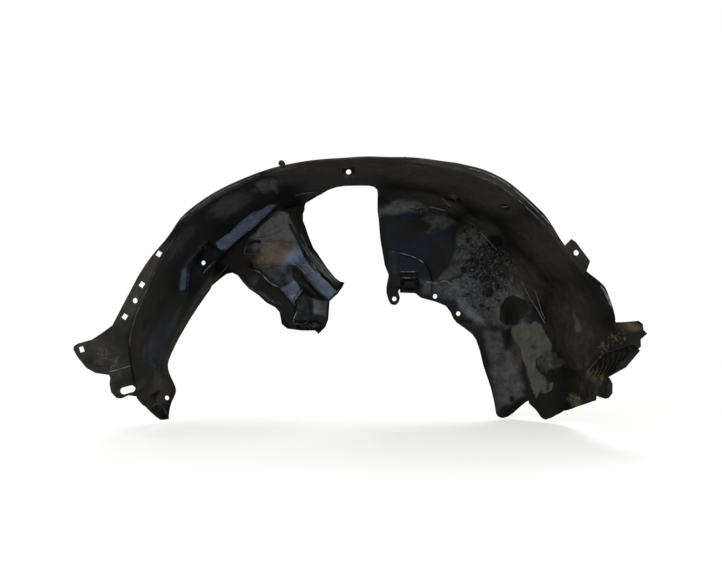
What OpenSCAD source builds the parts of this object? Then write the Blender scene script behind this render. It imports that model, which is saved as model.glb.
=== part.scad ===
// Front wheel arch liner, right-hand side, moulded in one piece.
// The wheel axis runs along Y, the front of the car is at +X and the car's middle at +Y.

/* [Arch] */
// Radius from the wheel axis to the outer edge at the crown
arch_r = 393; // [330:1:460]
// Depth from the outer edge to the inboard side wall
arch_depth = 278; // [220:1:320]
// Thickness of the moulded wall
wall_t = 2.5; // [1.8:0.1:4]

/* [Fixings] */
// Long side of the square clip holes in the rear flange
clip_hole = 8; // [6:0.5:11]
// Diameter of the round fixing holes
screw_hole_d = 8; // [6:0.5:10]
// Diameter of the flat ring moulded round a round hole
ring_d = 17; // [13:0.5:22]
// Thickness of that ring
ring_t = 4; // [3:0.5:6]
// Width of the adjusting slot in the rear foot
slot_w = 10; // [7:0.5:12]
// Length of the adjusting slot
slot_l = 22; // [16:1:28]
// Width of the moulded screw pockets
pocket_w = 20; // [16:1:26]

/* [Front vent] */
// Number of blades in the vent
vane_count = 8; // [4:1:9]
// Thickness of one blade
vane_t = 2.2; // [1.6:0.1:3.5]
// Depth of the vent from its face inboard
vent_depth = 9; // [5:1:20]

/* [Hidden] */
nominal_r = 393;
nominal_depth = 278;
kr = arch_r / nominal_r;
kd = arch_depth / nominal_depth;
rear_a = 185;
front_a = -9;
stations = 76;

// The section has six lines, from the outer edge inboard to the end of the side wall.
// Each table gives the angle of a station about the wheel axis, then radius or depth.
lip_r = [[185, 445], [161, 445], [158, 404], [157, 397.5], [153, 396], [148, 396], [143, 397.5], [138, 398],
  [134, 398], [131.5, 402.5], [124, 403], [119, 401], [113, 398.5], [108, 397], [100, 392.5],
  [93, 391], [85, 392], [78, 398.5], [72, 401.5], [70, 405.5], [65, 412], [60, 412.5], [54, 408],
  [46, 397.5], [42, 393], [36, 393], [34, 396], [31, 404], [27, 405], [24, 404], [22.5, 434], [17, 438],
  [14, 420], [12, 396], [10, 382], [8, 374], [-9, 350]];
lip_y = [[185, 10], [168, 12], [138, 12], [130, 0], [78, 0], [71, -12], [50, -12], [44, 0], [35, 0],
  [30, -8], [20, -6], [-9, 0]];
crease_r = [[185, 343], [178, 342], [174, 338], [171, 336], [168, 343], [164.5, 352], [161, 362], [157, 368],
  [153, 371], [149, 373.5], [146, 378], [142, 381], [139, 386], [136, 390], [133, 395], [131, 396],
  [123, 397], [114, 394], [108, 392], [100, 389.5], [92, 389.5], [85, 390], [77, 394], [71, 396], [65, 401],
  [60, 402], [54, 398], [46, 392], [42, 388], [36, 388], [31, 393], [24, 389], [22, 410], [20, 416],
  [17, 410], [15, 396], [13, 378], [11, 362], [8, 358], [0, 350], [-9, 340]];
crease_y = [[185, 15], [172, 15], [160, 13.5], [136, 13.5], [128, 10], [80, 8], [70, 1], [54, 1], [40, 4],
  [0, 8], [-9, 10]];
hollow = [[185, 0], [170, 2], [158, 9], [145, 8], [130, 5], [92, 2], [60, 7], [35, 8], [24, 4], [21, -18],
  [18, -25], [15, -20], [12, -6], [9, 0], [-9, 0]];
bend_r = [[185, 343], [176, 348], [168, 352], [158, 350], [150, 350], [147, 355], [143, 372], [138, 378],
  [134, 377], [131, 375], [124, 376], [116, 382], [110, 384], [104, 380], [98, 374], [90, 369], [84, 366],
  [60, 365], [45, 362], [33, 358], [22, 352], [10, 348], [0, 346], [-9, 341]];
bend_y = [[185, 205], [147, 205], [142, 224], [135, 224], [131, 215], [108, 215], [100, 200], [92, 190],
  [86, 225], [80, 240], [40, 240], [28, 228], [-9, 222]];
crest_r = [[185, 342], [176, 346], [168, 350], [160, 345], [150, 342], [144, 346], [138, 348], [134, 354],
  [131, 354], [122, 357], [118, 362], [113, 370], [108, 377], [100, 368], [90, 364], [84, 361], [60, 360],
  [45, 356], [33, 350], [22, 335], [10, 322], [0, 318], [-9, 312]];
crest_y = [[185, 226], [150, 228], [142, 230], [135, 231], [130, 240], [105, 240], [95, 250], [86, 264],
  [33, 264], [22, 255], [-9, 252]];
wall_r = [[185, 340], [176, 344], [168, 348], [160, 341], [150, 338], [139, 338], [136, 357], [131, 357],
  [122, 360], [118, 365], [112, 368], [108, 366], [100, 355], [88, 348], [60, 342], [45, 335], [33, 325],
  [25, 301], [10, 290], [-9, 290]];
wall_y = [[185, 240], [168, 244], [150, 246], [139, 246], [136, 275], [100, 277], [33, 278], [22, 285],
  [-9, 286]];
end_r = [[185, 334], [183, 334], [178, 328], [175.5, 319], [173, 328], [170.5, 339], [168, 346],
  [162, 340.5], [157, 336], [151, 333], [143, 331.5], [137, 329], [134.5, 140], [100, 140], [86, 200],
  [-9, 200]];
end_y = [[185, 242], [168, 250], [157, 255], [137, 258], [134.5, 286], [-9, 290]];

// Grid columns on which the six lines lie
line_at = [0, 2, 10, 13, 15, 24];
columns = 24;

// A table value, averaged a little along the arch so the mould lines run smooth
function soft(table, a) = (lookup(a - 1.2, table) + 2 * lookup(a, table) + lookup(a + 1.2, table)) / 4;

// The six points of one section as radius and depth
function section(a) = [
  [soft(lip_r, a), soft(lip_y, a)],
  [soft(crease_r, a), soft(crease_y, a)],
  [soft(bend_r, a), soft(bend_y, a)],
  [soft(crest_r, a), soft(crest_y, a)],
  [soft(wall_r, a), soft(wall_y, a)],
  [soft(end_r, a), soft(end_y, a)]];

// A point part way along a section, with the tunnel hollowed outward between crease and bend
function part_way(s, v, h) =
  let(q = v <= line_at[1] ? 0 : v <= line_at[2] ? 1 : v <= line_at[3] ? 2 : v <= line_at[4] ? 3 : 4,
      w = (v - line_at[q]) / (line_at[q + 1] - line_at[q]),
      p = s[q] * (1 - w) + s[q + 1] * w)
  q == 1 ? p + [4 * h * w * (1 - w), 0] : p;
function rounded(s, v, h) =
  (part_way(s, max(v - 0.5, 0), h) + 2 * part_way(s, v, h) + part_way(s, min(v + 0.5, columns), h)) / 4;

function step(a, b, x) = let(w = min(max((x - a) / (b - a), 0), 1)) w * w * (3 - 2 * w);
function bump(x, w) = exp(-x * x / (w * w));

// Relief of the rear side wall: a rolled band along the strut opening and a sunk floor beside it
function band_side(x, z) = 0.811 * (-103.7 - x) + 0.584 * (313 - z);
function band_along(x, z) = 0.584 * (x + 103.7) + 0.811 * (313 - z);
function rear_relief(x, z) =
  let(q = band_side(x, z), s = band_along(x, z), down = step(20, 60, s))
  -14 * down * bump(q - 30, 15) + 5 * down * bump(q - 10, 5)
  + 14 * step(40, 60, q) * step(254, 228, z) * step(-12, 12, 0.62 * (x + 188) + 0.78 * (z - 233));

// Relief of the front side wall: a shallow pressed panel and a bulge toward the wheel low down
function front_relief(x, z) =
  -5 * step(60, 72, x) * step(250, 238, z) * step(128, 116, x) - 6 * bump(hypot(x - 225, z - 120), 45);
function hypot(a, b) = sqrt(a * a + b * b);
function relief(x, z) = x < 0 ? rear_relief(x, z) : front_relief(x, z);

function place(p) = [p[0] * kr, p[1] * kd, p[2] * kr];
function grid_point(i, j) =
  let(a = rear_a + (front_a - rear_a) * i / stations,
      p = rounded(section(a), j, soft(hollow, a)),
      x = p[0] * cos(a),
      z = p[0] * sin(a))
  [x, p[1] + (j > line_at[4] && a < 138 ? relief(x, z) * min((j - line_at[4]) / 2, 1) : 0), z];

// The visible face of the shell as a grid, and the normal of each grid point
face_grid = [for (i = [0:stations]) [for (j = [0:columns]) place(grid_point(i, j))]];
function clamp(x, lo, hi) = min(max(x, lo), hi);
function normal(i, j) =
  let(a = face_grid[clamp(i + 1, 0, stations)][j] - face_grid[clamp(i - 1, 0, stations)][j],
      b = face_grid[i][clamp(j + 1, 0, columns)] - face_grid[i][clamp(j - 1, 0, columns)],
      c = cross(a, b))
  c / norm(c);

// Arch, flange and side walls as one bent sheet of even thickness
module sheet() {
  n = stations;
  m = columns;
  near_face = [for (i = [0:n]) for (j = [0:m]) face_grid[i][j]];
  far_face = [for (i = [0:n]) for (j = [0:m]) face_grid[i][j] + wall_t * normal(i, j)];
  k = (n + 1) * (m + 1);
  function at(i, j) = i * (m + 1) + j;
  polyhedron(concat(near_face, far_face), concat(
    [for (i = [0:n - 1]) for (j = [0:m - 1]) [at(i, j), at(i + 1, j), at(i + 1, j + 1)]],
    [for (i = [0:n - 1]) for (j = [0:m - 1]) [at(i, j), at(i + 1, j + 1), at(i, j + 1)]],
    [for (i = [0:n - 1]) for (j = [0:m - 1]) [k + at(i, j), k + at(i + 1, j + 1), k + at(i + 1, j)]],
    [for (i = [0:n - 1]) for (j = [0:m - 1]) [k + at(i, j), k + at(i, j + 1), k + at(i + 1, j + 1)]],
    [for (i = [0:n - 1]) [at(i, 0), k + at(i, 0), k + at(i + 1, 0)]],
    [for (i = [0:n - 1]) [at(i, 0), k + at(i + 1, 0), at(i + 1, 0)]],
    [for (i = [0:n - 1]) [at(i, m), k + at(i + 1, m), k + at(i, m)]],
    [for (i = [0:n - 1]) [at(i, m), at(i + 1, m), k + at(i + 1, m)]],
    [for (j = [0:m - 1]) [at(0, j), k + at(0, j + 1), k + at(0, j)]],
    [for (j = [0:m - 1]) [at(0, j), at(0, j + 1), k + at(0, j + 1)]],
    [for (j = [0:m - 1]) [at(n, j), k + at(n, j), k + at(n, j + 1)]],
    [for (j = [0:m - 1]) [at(n, j), k + at(n, j + 1), at(n, j + 1)]]
  ));
}

// A point of an outline in the plane of the arch
function pts(list) = [for (p = list) [p[0] * kr, p[1] * kr]];

// A flat outline carried through a stretch of depth
module slab(outline, y0, y1) {
  translate([0, y1 * kd, 0])
    rotate([90, 0, 0])
      linear_extrude(height = (y1 - y0) * kd)
        polygon(pts(outline));
}

// A round bar along the depth, from y0 over a length given in millimetres
module bar_y(x, y0, z, d, len) {
  translate([x * kr, y0 * kd + len, z * kr])
    rotate([90, 0, 0])
      cylinder(h = len, d = d, $fn = 32);
}

// Free edges that are cut to outline: rear foot, wheel side of the side walls, strut opening, front foot
rear_outline = [[-367, 148.5], [-381, 138], [-397, 127.5], [-417, 122], [-423, 118], [-424, 113],
  [-418, 102], [-405, 86], [-392, 78.5], [-372, 75.5], [-370.5, 71], [-371.5, 62], [-369, 50], [-361, 41.5],
  [-354, 41], [-344, 45.5], [-331, 43.5], [-331, -80], [-480, -80], [-480, 224], [-327, 224.5]];
rear_end = [[20, 43.5], [45, 41], [60, 36], [110, 20], [135, 13], [170, 0], [205, -13], [225, -21],
  [240, -23], [300, -10], [300, -90], [20, -90]];
strut_outline = [[-262, 207], [-248, 219], [-238, 228], [-229, 230], [-219, 225], [-211, 214], [-200, 202],
  [-184, 191], [-169, 177], [-154, 169], [-147, 161], [-145, 152], [-142, 138], [-135, 132], [-108, 128],
  [-84, 128], [-78, 122], [-66, 134], [-61, 147], [-58, 180], [-44, 193], [-35, 206], [-32, 213], [-40, 215],
  [-49, 222], [-62, 238], [-80, 265], [-87, 274], [-95, 294], [-101, 312], [-105, 322], [-105, 334],
  [-101, 343], [-90, 351], [-60, 353], [0, 357], [24, 358], [26, 339], [28, 326], [31, 290], [39, 244],
  [49, 219], [65, 212], [66, 195], [93, 194], [103, 186], [129, 179], [147, 171.5], [155, 161], [160, 150],
  [166, 142], [179, 133], [193, 122], [200, 112], [207, 92], [213, 67], [227, 26], [233, 0], [236, -19],
  [240, -24.5], [247, -26.5], [258, -24.5], [268, -18.5], [278, -8], [288, 2], [293, 5], [293, -80],
  [-300, -80], [-300, 120]];
bridge_edge = [[-106, 330], [-104, 283], [-99, 268], [-88, 256], [-72, 238], [-57, 210], [-43, 192],
  [-29, 183], [-6, 180], [11, 182], [19, 190], [24, 206], [26, 240], [26, 330]];
front_end = [[-60, 38], [10, 41], [40, 37], [80, 28.5], [120, 19], [170, 8], [225, -6], [240, -16],
  [246, -21], [253, -24.5], [259, -22], [268, -11], [276, -3], [284, 4], [290, 5.5], [330, 5.5], [330, -90],
  [-60, -90]];
front_outline = [[349, 206], [359, 181], [368.5, 155.5], [371, 152.5], [399, 155.5], [404.5, 151],
  [406, 142.5], [411, 137], [403, 128.5], [403, 118], [391, 106], [369, 82], [359, 74], [363, 64],
  [362.5, 50], [358, 43], [350, 39], [338, 33], [338, 20], [460, 20], [460, 206]];

module free_edges() {
  slab(rear_outline, -40, 22);
  slab(front_outline, -40, 60);
  slab(strut_outline, 150, 330);
  translate([0, 0, 337 * kr])
    linear_extrude(height = 90 * kr)
      polygon([for (p = bridge_edge) [p[0] * kr, p[1] * kd]]);
  translate([-480 * kr, 0, 0])
    rotate([90, 0, 90])
      linear_extrude(height = 200 * kr)
        polygon([for (p = rear_end) [p[0] * kd, p[1] * kr]]);
  translate([290 * kr, 0, 0])
    rotate([90, 0, 90])
      linear_extrude(height = 200 * kr)
        polygon([for (p = front_end) [p[0] * kd, p[1] * kr]]);
}

// Clip and screw holes, each at its place across, in depth and in height
square_holes = [[-299, 13, 253], [-324, 13, 208], [-349, 13, 161], [-412, 13, 113]];
// Round holes with a flat ring: place across, front of the ring, height, thickness of the ring
ringed_holes = [[-334, 12, 184.5, 1.25 * ring_t], [-271, 221.5, 246, 2.25 * ring_t],
  [-337, 242, 14, 1.25 * ring_t], [128, 283.5, 188.5, 1.5 * ring_t], [169, 284, 158, 1.25 * ring_t]];
bracket_hole = [56, 286.5, 184];
tab_hole = [309, 0, 254];
slot_at = [-345.5, 18, 53.5];
slot_tilt = 15;
crown_hole = [-22.5, 118, 386.8];

module holes() {
  for (p = square_holes)
    translate([p[0] * kr, p[1] * kd, p[2] * kr])
      rotate([0, p[0] < -400 ? -16 : 33, 0])
        cube([0.86 * clip_hole, 24, clip_hole], center = true);
  for (p = concat(ringed_holes, [bracket_hole, tab_hole, crown_hole]))
    bar_y(p[0], p[1] - 12, p[2], screw_hole_d, 28);
  translate([slot_at[0] * kr, slot_at[1] * kd, slot_at[2] * kr])
    rotate([90, -slot_tilt, 0])
      linear_extrude(height = 30, center = true) {
        square([slot_l - slot_w, slot_w], center = true);
        for (side = [-1, 1])
          translate([side * (slot_l - slot_w) / 2, 0])
            circle(d = slot_w, $fn = 32);
      }
}

// Flat rings that carry the round holes
module rings() {
  for (p = ringed_holes)
    bar_y(p[0], p[1], p[2], ring_d, p[3]);
}

// Pockets pressed outward through the arch: angle, depth of the end wall, roof radius, radius of the arch
// at the outer side and at the end wall, length along the depth, width
crown_pocket = [93.35, 118, 394, 386, 378.5, 60, pocket_w];
front_pocket = [67.2, 186, 387, 381, 376, 34, 0.8 * pocket_w];
edge_pocket = [79, 34, 397, 394, 391.5, 20, 1.3 * pocket_w];
pockets = [crown_pocket, front_pocket, edge_pocket];

module pocket(p, grow, lower) {
  y0 = (p[1] - p[5]) * kd - grow;
  y1 = p[1] * kd + grow;
  roof = p[2] * kr + grow;
  rotate([0, 90 - p[0], 0])
    rotate([90, 0, 90])
      translate([0, 0, -p[6] / 2 - grow])
        linear_extrude(height = p[6] + 2 * grow)
          polygon([[y0, p[3] * kr - lower], [y1, p[4] * kr - lower], [y1, roof], [y0, roof]]);
}

// Vent in the front corner: its frame, and the chevron blades that cross it
vent_opening = [[5, 112], [11, 118], [57, 105], [72, 93], [91, 76], [87, 68], [66, 70], [30, 88]];
vent_right = [394, -8];
vent_turn = 120;

module in_vent(y0, y1) {
  translate([vent_right[0] * kr, vent_right[1] * kd, 0])
    rotate([90, 0, vent_turn])
      translate([0, 0, -y1])
        linear_extrude(height = y1 - y0)
          children();
}
module vent_frame() {
  in_vent(-vent_depth, 5)
    difference() {
      offset(delta = wall_t)
        polygon(pts(vent_opening));
      polygon(pts(vent_opening));
    }
}
module blade_profile() {
  polygon([[-1, 20], [vane_t - 1, 20], [vane_t - 2, 1], [13 + vane_t, -18], [13, -18], [-2, 0]]);
}
module vent_blades() {
  in_vent(-vent_depth, 3)
    intersection() {
      offset(delta = wall_t / 2)
        polygon(pts(vent_opening));
      for (i = [0:vane_count - 1])
        translate([(9 + 76 * i / (vane_count - 1)) * kr, (111 - 36 * i / (vane_count - 1)) * kr])
          blade_profile();
    }
}

// Round peg on the outer edge
module peg() {
  bar_y(-118, -3, 383.5, 9, 14);
}

// Ribs on the front side wall: the corners of each, with its near and far depth
ribs_long = [[[49, 268], [111, 245], [112, 248], [49, 271]],
  [[109, 246], [112, 248], [122, 229], [119, 227]]];
ribs_short = [[[68, 230], [96, 230], [96, 233], [68, 233]], [[68, 219], [97, 219], [97, 222], [68, 222]]];
module ribs() {
  for (outline = ribs_long)
    slab(outline, 278.5, 284);
  for (outline = ribs_short)
    slab(outline, 277, 281);
}

// Fixing plates that stand on the edges of the sheet
module bracket() {
  slab([[46, 226], [66, 226], [68, 206], [63, 197], [66, 186], [64, 179], [60, 174], [55, 173], [50, 175],
    [46, 181], [42, 195], [42, 204]], bracket_hole[1] - 1.5, bracket_hole[1] + 1.5);
  slab([[46, 226], [66, 226], [67, 206], [44, 206]], bracket_hole[1] - 9, bracket_hole[1] - 1);
}
module edge_tab() {
  slab([[290, 262], [302, 274], [308, 270], [329, 242], [324, 228], [318, 222], [306, 240]], -2, 1);
}

// The whole liner, with its origin at the middle of the crown hole
module arch_liner() {
  color("#2a2b2d")
    translate([-crown_hole[0] * kr, -crown_hole[1] * kd - wall_t / 2, -crown_hole[2] * kr])
      difference() {
        union() {
          difference() {
            union() {
              sheet();
              for (p = pockets)
                pocket(p, wall_t, 0);
            }
            free_edges();
            for (p = pockets)
              pocket(p, 0, 15);
            in_vent(-vent_depth - 30, 20)
              polygon(pts(vent_opening));
          }
          vent_frame();
          vent_blades();
          rings();
          bracket();
          edge_tab();
          peg();
          ribs();
        }
        holes();
      }
}

arch_liner();
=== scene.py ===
"""Front wheel arch liner of a car: one thin moulding of black polypropylene, as it came off the car.

Every size is in millimetres from the wheel's axis (x to the front of the car, y inboard, z up).
to_frame() turns a point into the frame's metres, whose origin is the middle of the crown hole.
"""
import math

import bmesh
import bpy
import numpy as np
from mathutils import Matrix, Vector
from mathutils.bvhtree import BVHTree


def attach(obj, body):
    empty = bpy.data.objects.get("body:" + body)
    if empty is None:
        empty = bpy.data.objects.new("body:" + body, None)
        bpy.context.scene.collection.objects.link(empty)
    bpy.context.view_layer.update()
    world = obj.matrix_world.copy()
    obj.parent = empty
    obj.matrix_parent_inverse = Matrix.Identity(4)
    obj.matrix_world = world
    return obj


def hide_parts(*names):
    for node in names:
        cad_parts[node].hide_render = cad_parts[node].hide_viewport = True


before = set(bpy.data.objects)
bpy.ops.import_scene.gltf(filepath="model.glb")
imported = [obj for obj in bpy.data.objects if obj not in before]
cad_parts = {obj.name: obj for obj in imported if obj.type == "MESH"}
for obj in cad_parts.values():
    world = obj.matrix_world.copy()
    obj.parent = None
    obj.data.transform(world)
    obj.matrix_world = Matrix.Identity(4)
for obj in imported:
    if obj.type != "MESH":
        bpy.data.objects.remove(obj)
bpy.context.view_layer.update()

MM = 0.001
WALL_T = 2.5
CROWN_HOLE = (-22.5, 118.0, 386.8)
ORIGIN = np.array((CROWN_HOLE[0], CROWN_HOLE[1] + WALL_T / 2, CROWN_HOLE[2]))
# One degree of the arch, along its outer part and along the inner part of its roof
MM_PER_DEGREE = 6.8
ROOF_MM_PER_DEGREE = 6.6


def to_frame(points):
    """Points in the frame's metres, from points in millimetres."""
    return (np.asarray(points, float) - ORIGIN) * MM


def from_frame(points):
    """Points in millimetres, from points in the frame's metres."""
    return np.asarray(points, float) / MM + ORIGIN


# Section of the moulding: six lines from the outer edge inboard, as (angle, radius or depth)
REAR_ANGLE, FRONT_ANGLE = 185.0, -9.0
LIP_R = [(185, 445), (161, 445), (158, 404), (157, 397.5), (153, 396), (148, 396), (143, 397.5), (138, 398),
         (134, 398), (131.5, 402.5), (124, 403), (119, 401), (113, 398.5), (108, 397), (100, 392.5),
         (93, 391), (85, 392), (78, 398.5), (72, 401.5), (70, 405.5), (65, 412), (60, 412.5), (54, 408),
         (46, 397.5), (42, 393), (36, 393), (34, 396), (31, 404), (27, 405), (24, 404), (22.5, 434),
         (17, 438), (14, 420), (12, 396), (10, 382), (8, 374), (-9, 350)]
LIP_Y = [(185, 10), (168, 12), (138, 12), (130, 0), (78, 0), (71, -12), (50, -12), (44, 0), (35, 0),
         (30, -8), (20, -6), (-9, 0)]
CREASE_R = [(185, 343), (178, 342), (174, 338), (171, 336), (168, 343), (164.5, 352), (161, 362),
            (157, 368), (153, 371), (149, 373.5), (146, 378), (142, 381), (139, 386), (136, 390),
            (133, 395), (131, 396), (123, 397), (114, 394), (108, 392), (100, 389.5), (92, 389.5),
            (85, 390), (77, 394), (71, 396), (65, 401), (60, 402), (54, 398), (46, 392), (42, 388),
            (36, 388), (31, 393), (24, 389), (22, 410), (20, 416), (17, 410), (15, 396), (13, 378),
            (11, 362), (8, 358), (0, 350), (-9, 340)]
CREASE_Y = [(185, 15), (172, 15), (160, 13.5), (136, 13.5), (128, 10), (80, 8), (70, 1), (54, 1), (40, 4),
            (0, 8), (-9, 10)]
HOLLOW = [(185, 0), (170, 2), (158, 9), (145, 8), (130, 5), (92, 2), (60, 7), (35, 8), (24, 4), (21, -18),
          (18, -25), (15, -20), (12, -6), (9, 0), (-9, 0)]
BEND_R = [(185, 343), (176, 348), (168, 352), (158, 350), (150, 350), (147, 355), (143, 372), (138, 378),
          (134, 377), (131, 375), (124, 376), (116, 382), (110, 384), (104, 380), (98, 374), (90, 369),
          (84, 366), (60, 365), (45, 362), (33, 358), (22, 352), (10, 348), (0, 346), (-9, 341)]
BEND_Y = [(185, 205), (147, 205), (142, 224), (135, 224), (131, 215), (108, 215), (100, 200), (92, 190),
          (86, 225), (80, 240), (40, 240), (28, 228), (-9, 222)]
CREST_R = [(185, 342), (176, 346), (168, 350), (160, 345), (150, 342), (144, 346), (138, 348), (134, 354),
           (131, 354), (122, 357), (118, 362), (113, 370), (108, 377), (100, 368), (90, 364), (84, 361),
           (60, 360), (45, 356), (33, 350), (22, 335), (10, 322), (0, 318), (-9, 312)]
CREST_Y = [(185, 226), (150, 228), (142, 230), (135, 231), (130, 240), (105, 240), (95, 250), (86, 264),
           (33, 264), (22, 255), (-9, 252)]
WALL_R = [(185, 340), (176, 344), (168, 348), (160, 341), (150, 338), (139, 338), (136, 357), (131, 357),
          (122, 360), (118, 365), (112, 368), (108, 366), (100, 355), (88, 348), (60, 342), (45, 335),
          (33, 325), (25, 301), (10, 290), (-9, 290)]
WALL_Y = [(185, 240), (168, 244), (150, 246), (139, 246), (136, 275), (100, 277), (33, 278), (22, 285),
          (-9, 286)]
END_R = [(185, 334), (183, 334), (178, 328), (175.5, 319), (173, 328), (170.5, 339), (168, 346),
         (162, 340.5), (157, 336), (151, 333), (143, 331.5), (137, 329), (134.5, 140), (100, 140),
         (86, 200), (-9, 200)]
END_Y = [(185, 242), (168, 250), (157, 255), (137, 258), (134.5, 286), (-9, 290)]
# Places of the six lines on the way across the section, and how many columns of faces lie between them
LINE_AT = [0, 2, 10, 13, 15, 24]
COLUMNS_BETWEEN = [8, 44, 12, 8, 58]
STATIONS = 400
# How far the corners are rounded over, in the same steps: at the lip, inside, on the ramp, over the crest
ROUND_LIP, ROUND_INSIDE, ROUND_RAMP, ROUND_CREST = 0.24, 0.55, 0.18, 1.1
# Where each of them starts and ends, across the section
LIP_ENDS = (7, 4)
RAMP_STARTS = (11.5, 12.5)
CREST_STARTS, CREST_ENDS = (6, 9), (21, 16)
# The same along the arch, as angles: both ends of the ramp over the rear wall, and the start of the crest
RAMP_FRONT, RAMP_REAR = (103, 107), (133, 130)
CREST_FROM = (92, 80)
# Where the tunnel's relief starts and ends across the section, and over how much of it that of the side
# walls comes in
TUNNEL_STARTS, TUNNEL_ENDS = (1.5, 3), (15, 13.5)
WALL_COMES_IN = 2
# Angle below which the side walls hang from the roof, and how far outboard the lip may reach
SIDE_WALLS_FROM = 138
LIP_LIMIT = -10.9
WAVE_HEIGHT = 0.16


def step(low, high, x):
    """0 before low, 1 past high and smooth between them; low may be the greater one."""
    t = np.clip((x - low) / (high - low), 0, 1)
    return t * t * (3 - 2 * t)


def bump(x, width):
    """A smooth bump of height 1 about 0."""
    return np.exp(-(x / width) ** 2)


def soft(table, angle):
    """A table's value, averaged a little along the arch so that the mould lines run smooth."""
    angles, values = np.array(table, float)[::-1].T
    taps = ((-2.2, 1), (-1.1, 2), (0, 3), (1.1, 2), (2.2, 1))
    return sum(weight * np.interp(angle + shift, angles, values) for shift, weight in taps) / 9


def section_lines(angle):
    """Radius and depth of the six lines at each angle, as two arrays of shape (6, angles)."""
    radii = [soft(t, angle) for t in (LIP_R, CREASE_R, BEND_R, CREST_R, WALL_R, END_R)]
    depths = [soft(t, angle) for t in (LIP_Y, CREASE_Y, BEND_Y, CREST_Y, WALL_Y, END_Y)]
    return np.array(radii), np.array(depths)


def across(radii, depths, hollow, v):
    """Point at place v across each section, with the tunnel hollowed outward between crease and bend."""
    v = np.clip(v, 0, LINE_AT[-1])
    q = np.clip(np.searchsorted(LINE_AT, v, side="left") - 1, 0, len(LINE_AT) - 2)
    low = np.take(LINE_AT, q)
    w = (v - low) / (np.take(LINE_AT, q + 1) - low)
    station = np.arange(radii.shape[1])[:, None]
    r = radii[q, station] * (1 - w) + radii[q + 1, station] * w
    y = depths[q, station] * (1 - w) + depths[q + 1, station] * w
    return r + np.where(q == 1, 4 * hollow[:, None] * w * (1 - w), 0), y


def rounded(angle, v):
    """The section with its corners rounded: tight at the flange and on the ramp over the rear wall."""
    radii, depths = section_lines(angle)
    hollow = soft(HOLLOW, angle)
    ramp = step(*RAMP_FRONT, angle) * step(*RAMP_REAR, angle)
    at_ramp = step(*RAMP_STARTS, v)
    at_lip = ROUND_LIP * step(*LIP_ENDS, v)[None]
    on_ramp = ramp[:, None] * at_ramp[None]
    inside = step(*reversed(LIP_ENDS), v)[None] * (ROUND_INSIDE - (ROUND_INSIDE - ROUND_RAMP) * on_ramp)
    over_crest = step(*CREST_STARTS, v) * step(*CREST_ENDS, v)
    at_crest = ROUND_CREST * step(*CREST_FROM, angle)[:, None] * over_crest[None]
    reach = at_lip + inside + at_crest
    r = y = 0
    for tap, weight in ((-1, 1), (-0.5, 2), (0, 3), (0.5, 2), (1, 1)):
        tap_r, tap_y = across(radii, depths, hollow, v[None] + tap * reach)
        r = r + weight * tap_r / 9
        y = y + weight * tap_y / 9
    return r, y


def between(x, low, high, edge):
    """1 between low and high, falling to 0 over the width of the edge outside them."""
    return step(low - edge, low, x) * step(high + edge, high, x)


def over_line(corners, x, z):
    """Height of a point above the line that runs through the corners from left to right."""
    return z - np.interp(x, *np.array(corners, float).T)


def steps(table, x, z):
    """Sum of rectangular steps: depth, from and to across with their edge, from and to up with theirs."""
    return sum(depth * between(x, left, right, edge) * between(z, low, high, edge_up)
               for depth, left, right, edge, low, high, edge_up in table.values())


def ridges(table, x, z):
    """Sum of level ridges: depth, from and to across with their edge, height and width."""
    return sum(depth * between(x, left, right, edge) * bump(z - height, width)
               for depth, left, right, edge, height, width in table.values())


# Rear side wall: where the band rolled along the opening starts, and the direction across it
BAND_FROM = (-103.7, 313)
BAND_ACROSS = (0.811, 0.584)
# From where to where, down the band, its roll and groove grow to their full height. Then the height, the
# distance from the opening and the width of the roll, of the groove beside it and of the opening's rim.
BAND_GROWS = (20, 60)
BAND_ROLL, BAND_GROOVE, BAND_RIM = (-14, 30, 15), (5, 10, 5), (-2.5, 3, 2.5)
# Screw recess: its middle, the direction of its long axis, and its half sizes
RECESS_AT = (-193, 276)
RECESS_ALONG = (0.94, 0.34)
RECESS_HALF = (15, 9.5)
# Its depth, then its wall from outside to inside, and its rim's height, place and width. The places and the
# width are shares of its half sizes.
RECESS_DEPTH = 7
RECESS_WALL = (1.05, 0.55)
RECESS_RIM = (-1.6, 1.2, 0.14)
REAR_STEPS = {
    "hollow_of_gusset": (8, -112, -78, 4, 132, 141, 3.5),
    "clip_seat": (1.2, -147, -138, 1.5, 217, 227, 1.5),
    "blind_square_hole": (5, -144.5, -140.5, 1.5, 219.5, 224.5, 1.5),
}
REAR_RIDGES = {
    "sill_of_gusset": (-2.5, -122, -84, 5, 148, 2.6),
    "ridge_over_fold": (-1.5, -172, -122, 8, 286, 2.2),
}
# The sunk plate's upper edge, as points across and up
PLATE_EDGE = [(-260, 284), (-191, 236), (-180, 230), (-171, 222), (-164, 214), (-151, 208), (-146, 205),
              (-123, 177), (-100, 149)]
# What turns a height over that edge into a distance from it
PLATE_EDGE_COS = 0.8
# The plate's depth, its wall at the edge, and where it starts beside the band and below the fold
PLATE_DEPTH = 13
PLATE_WALL = (-2, 4)
PLATE_BESIDE_BAND, PLATE_BELOW_FOLD = (42, 56), (250, 236)
# The bead on its edge: height and width, then from, to and edge across
BEAD_HEIGHT, BEAD_W = -2, 2.4
BEAD_SPAN = (-192, -125, 6)
# The raised facet at the plate's foot: height, where it starts and where it is full, coming from above and
# from the band, and how much that start leans, about which place across
FACET_HEIGHT = -12
FACET_FROM, FACET_BESIDE_BAND = (214, 186), (38, 54)
FACET_LEAN, FACET_LEANS_ABOUT = 0.25, -120
# The web's edge, as points up and across, then its height, its foot and top with their softness, and where
# its two sides start and are full, past its edge
WEB_EDGE = [(140, -124), (152, -120), (173, -117), (182, -119), (200, -108), (215, -103)]
WEB_HEIGHT = -7
WEB_SPAN = (148, 190, 6)
WEB_FRONT, WEB_BACK = (-2.5, 1.5), (30, 4)
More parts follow.
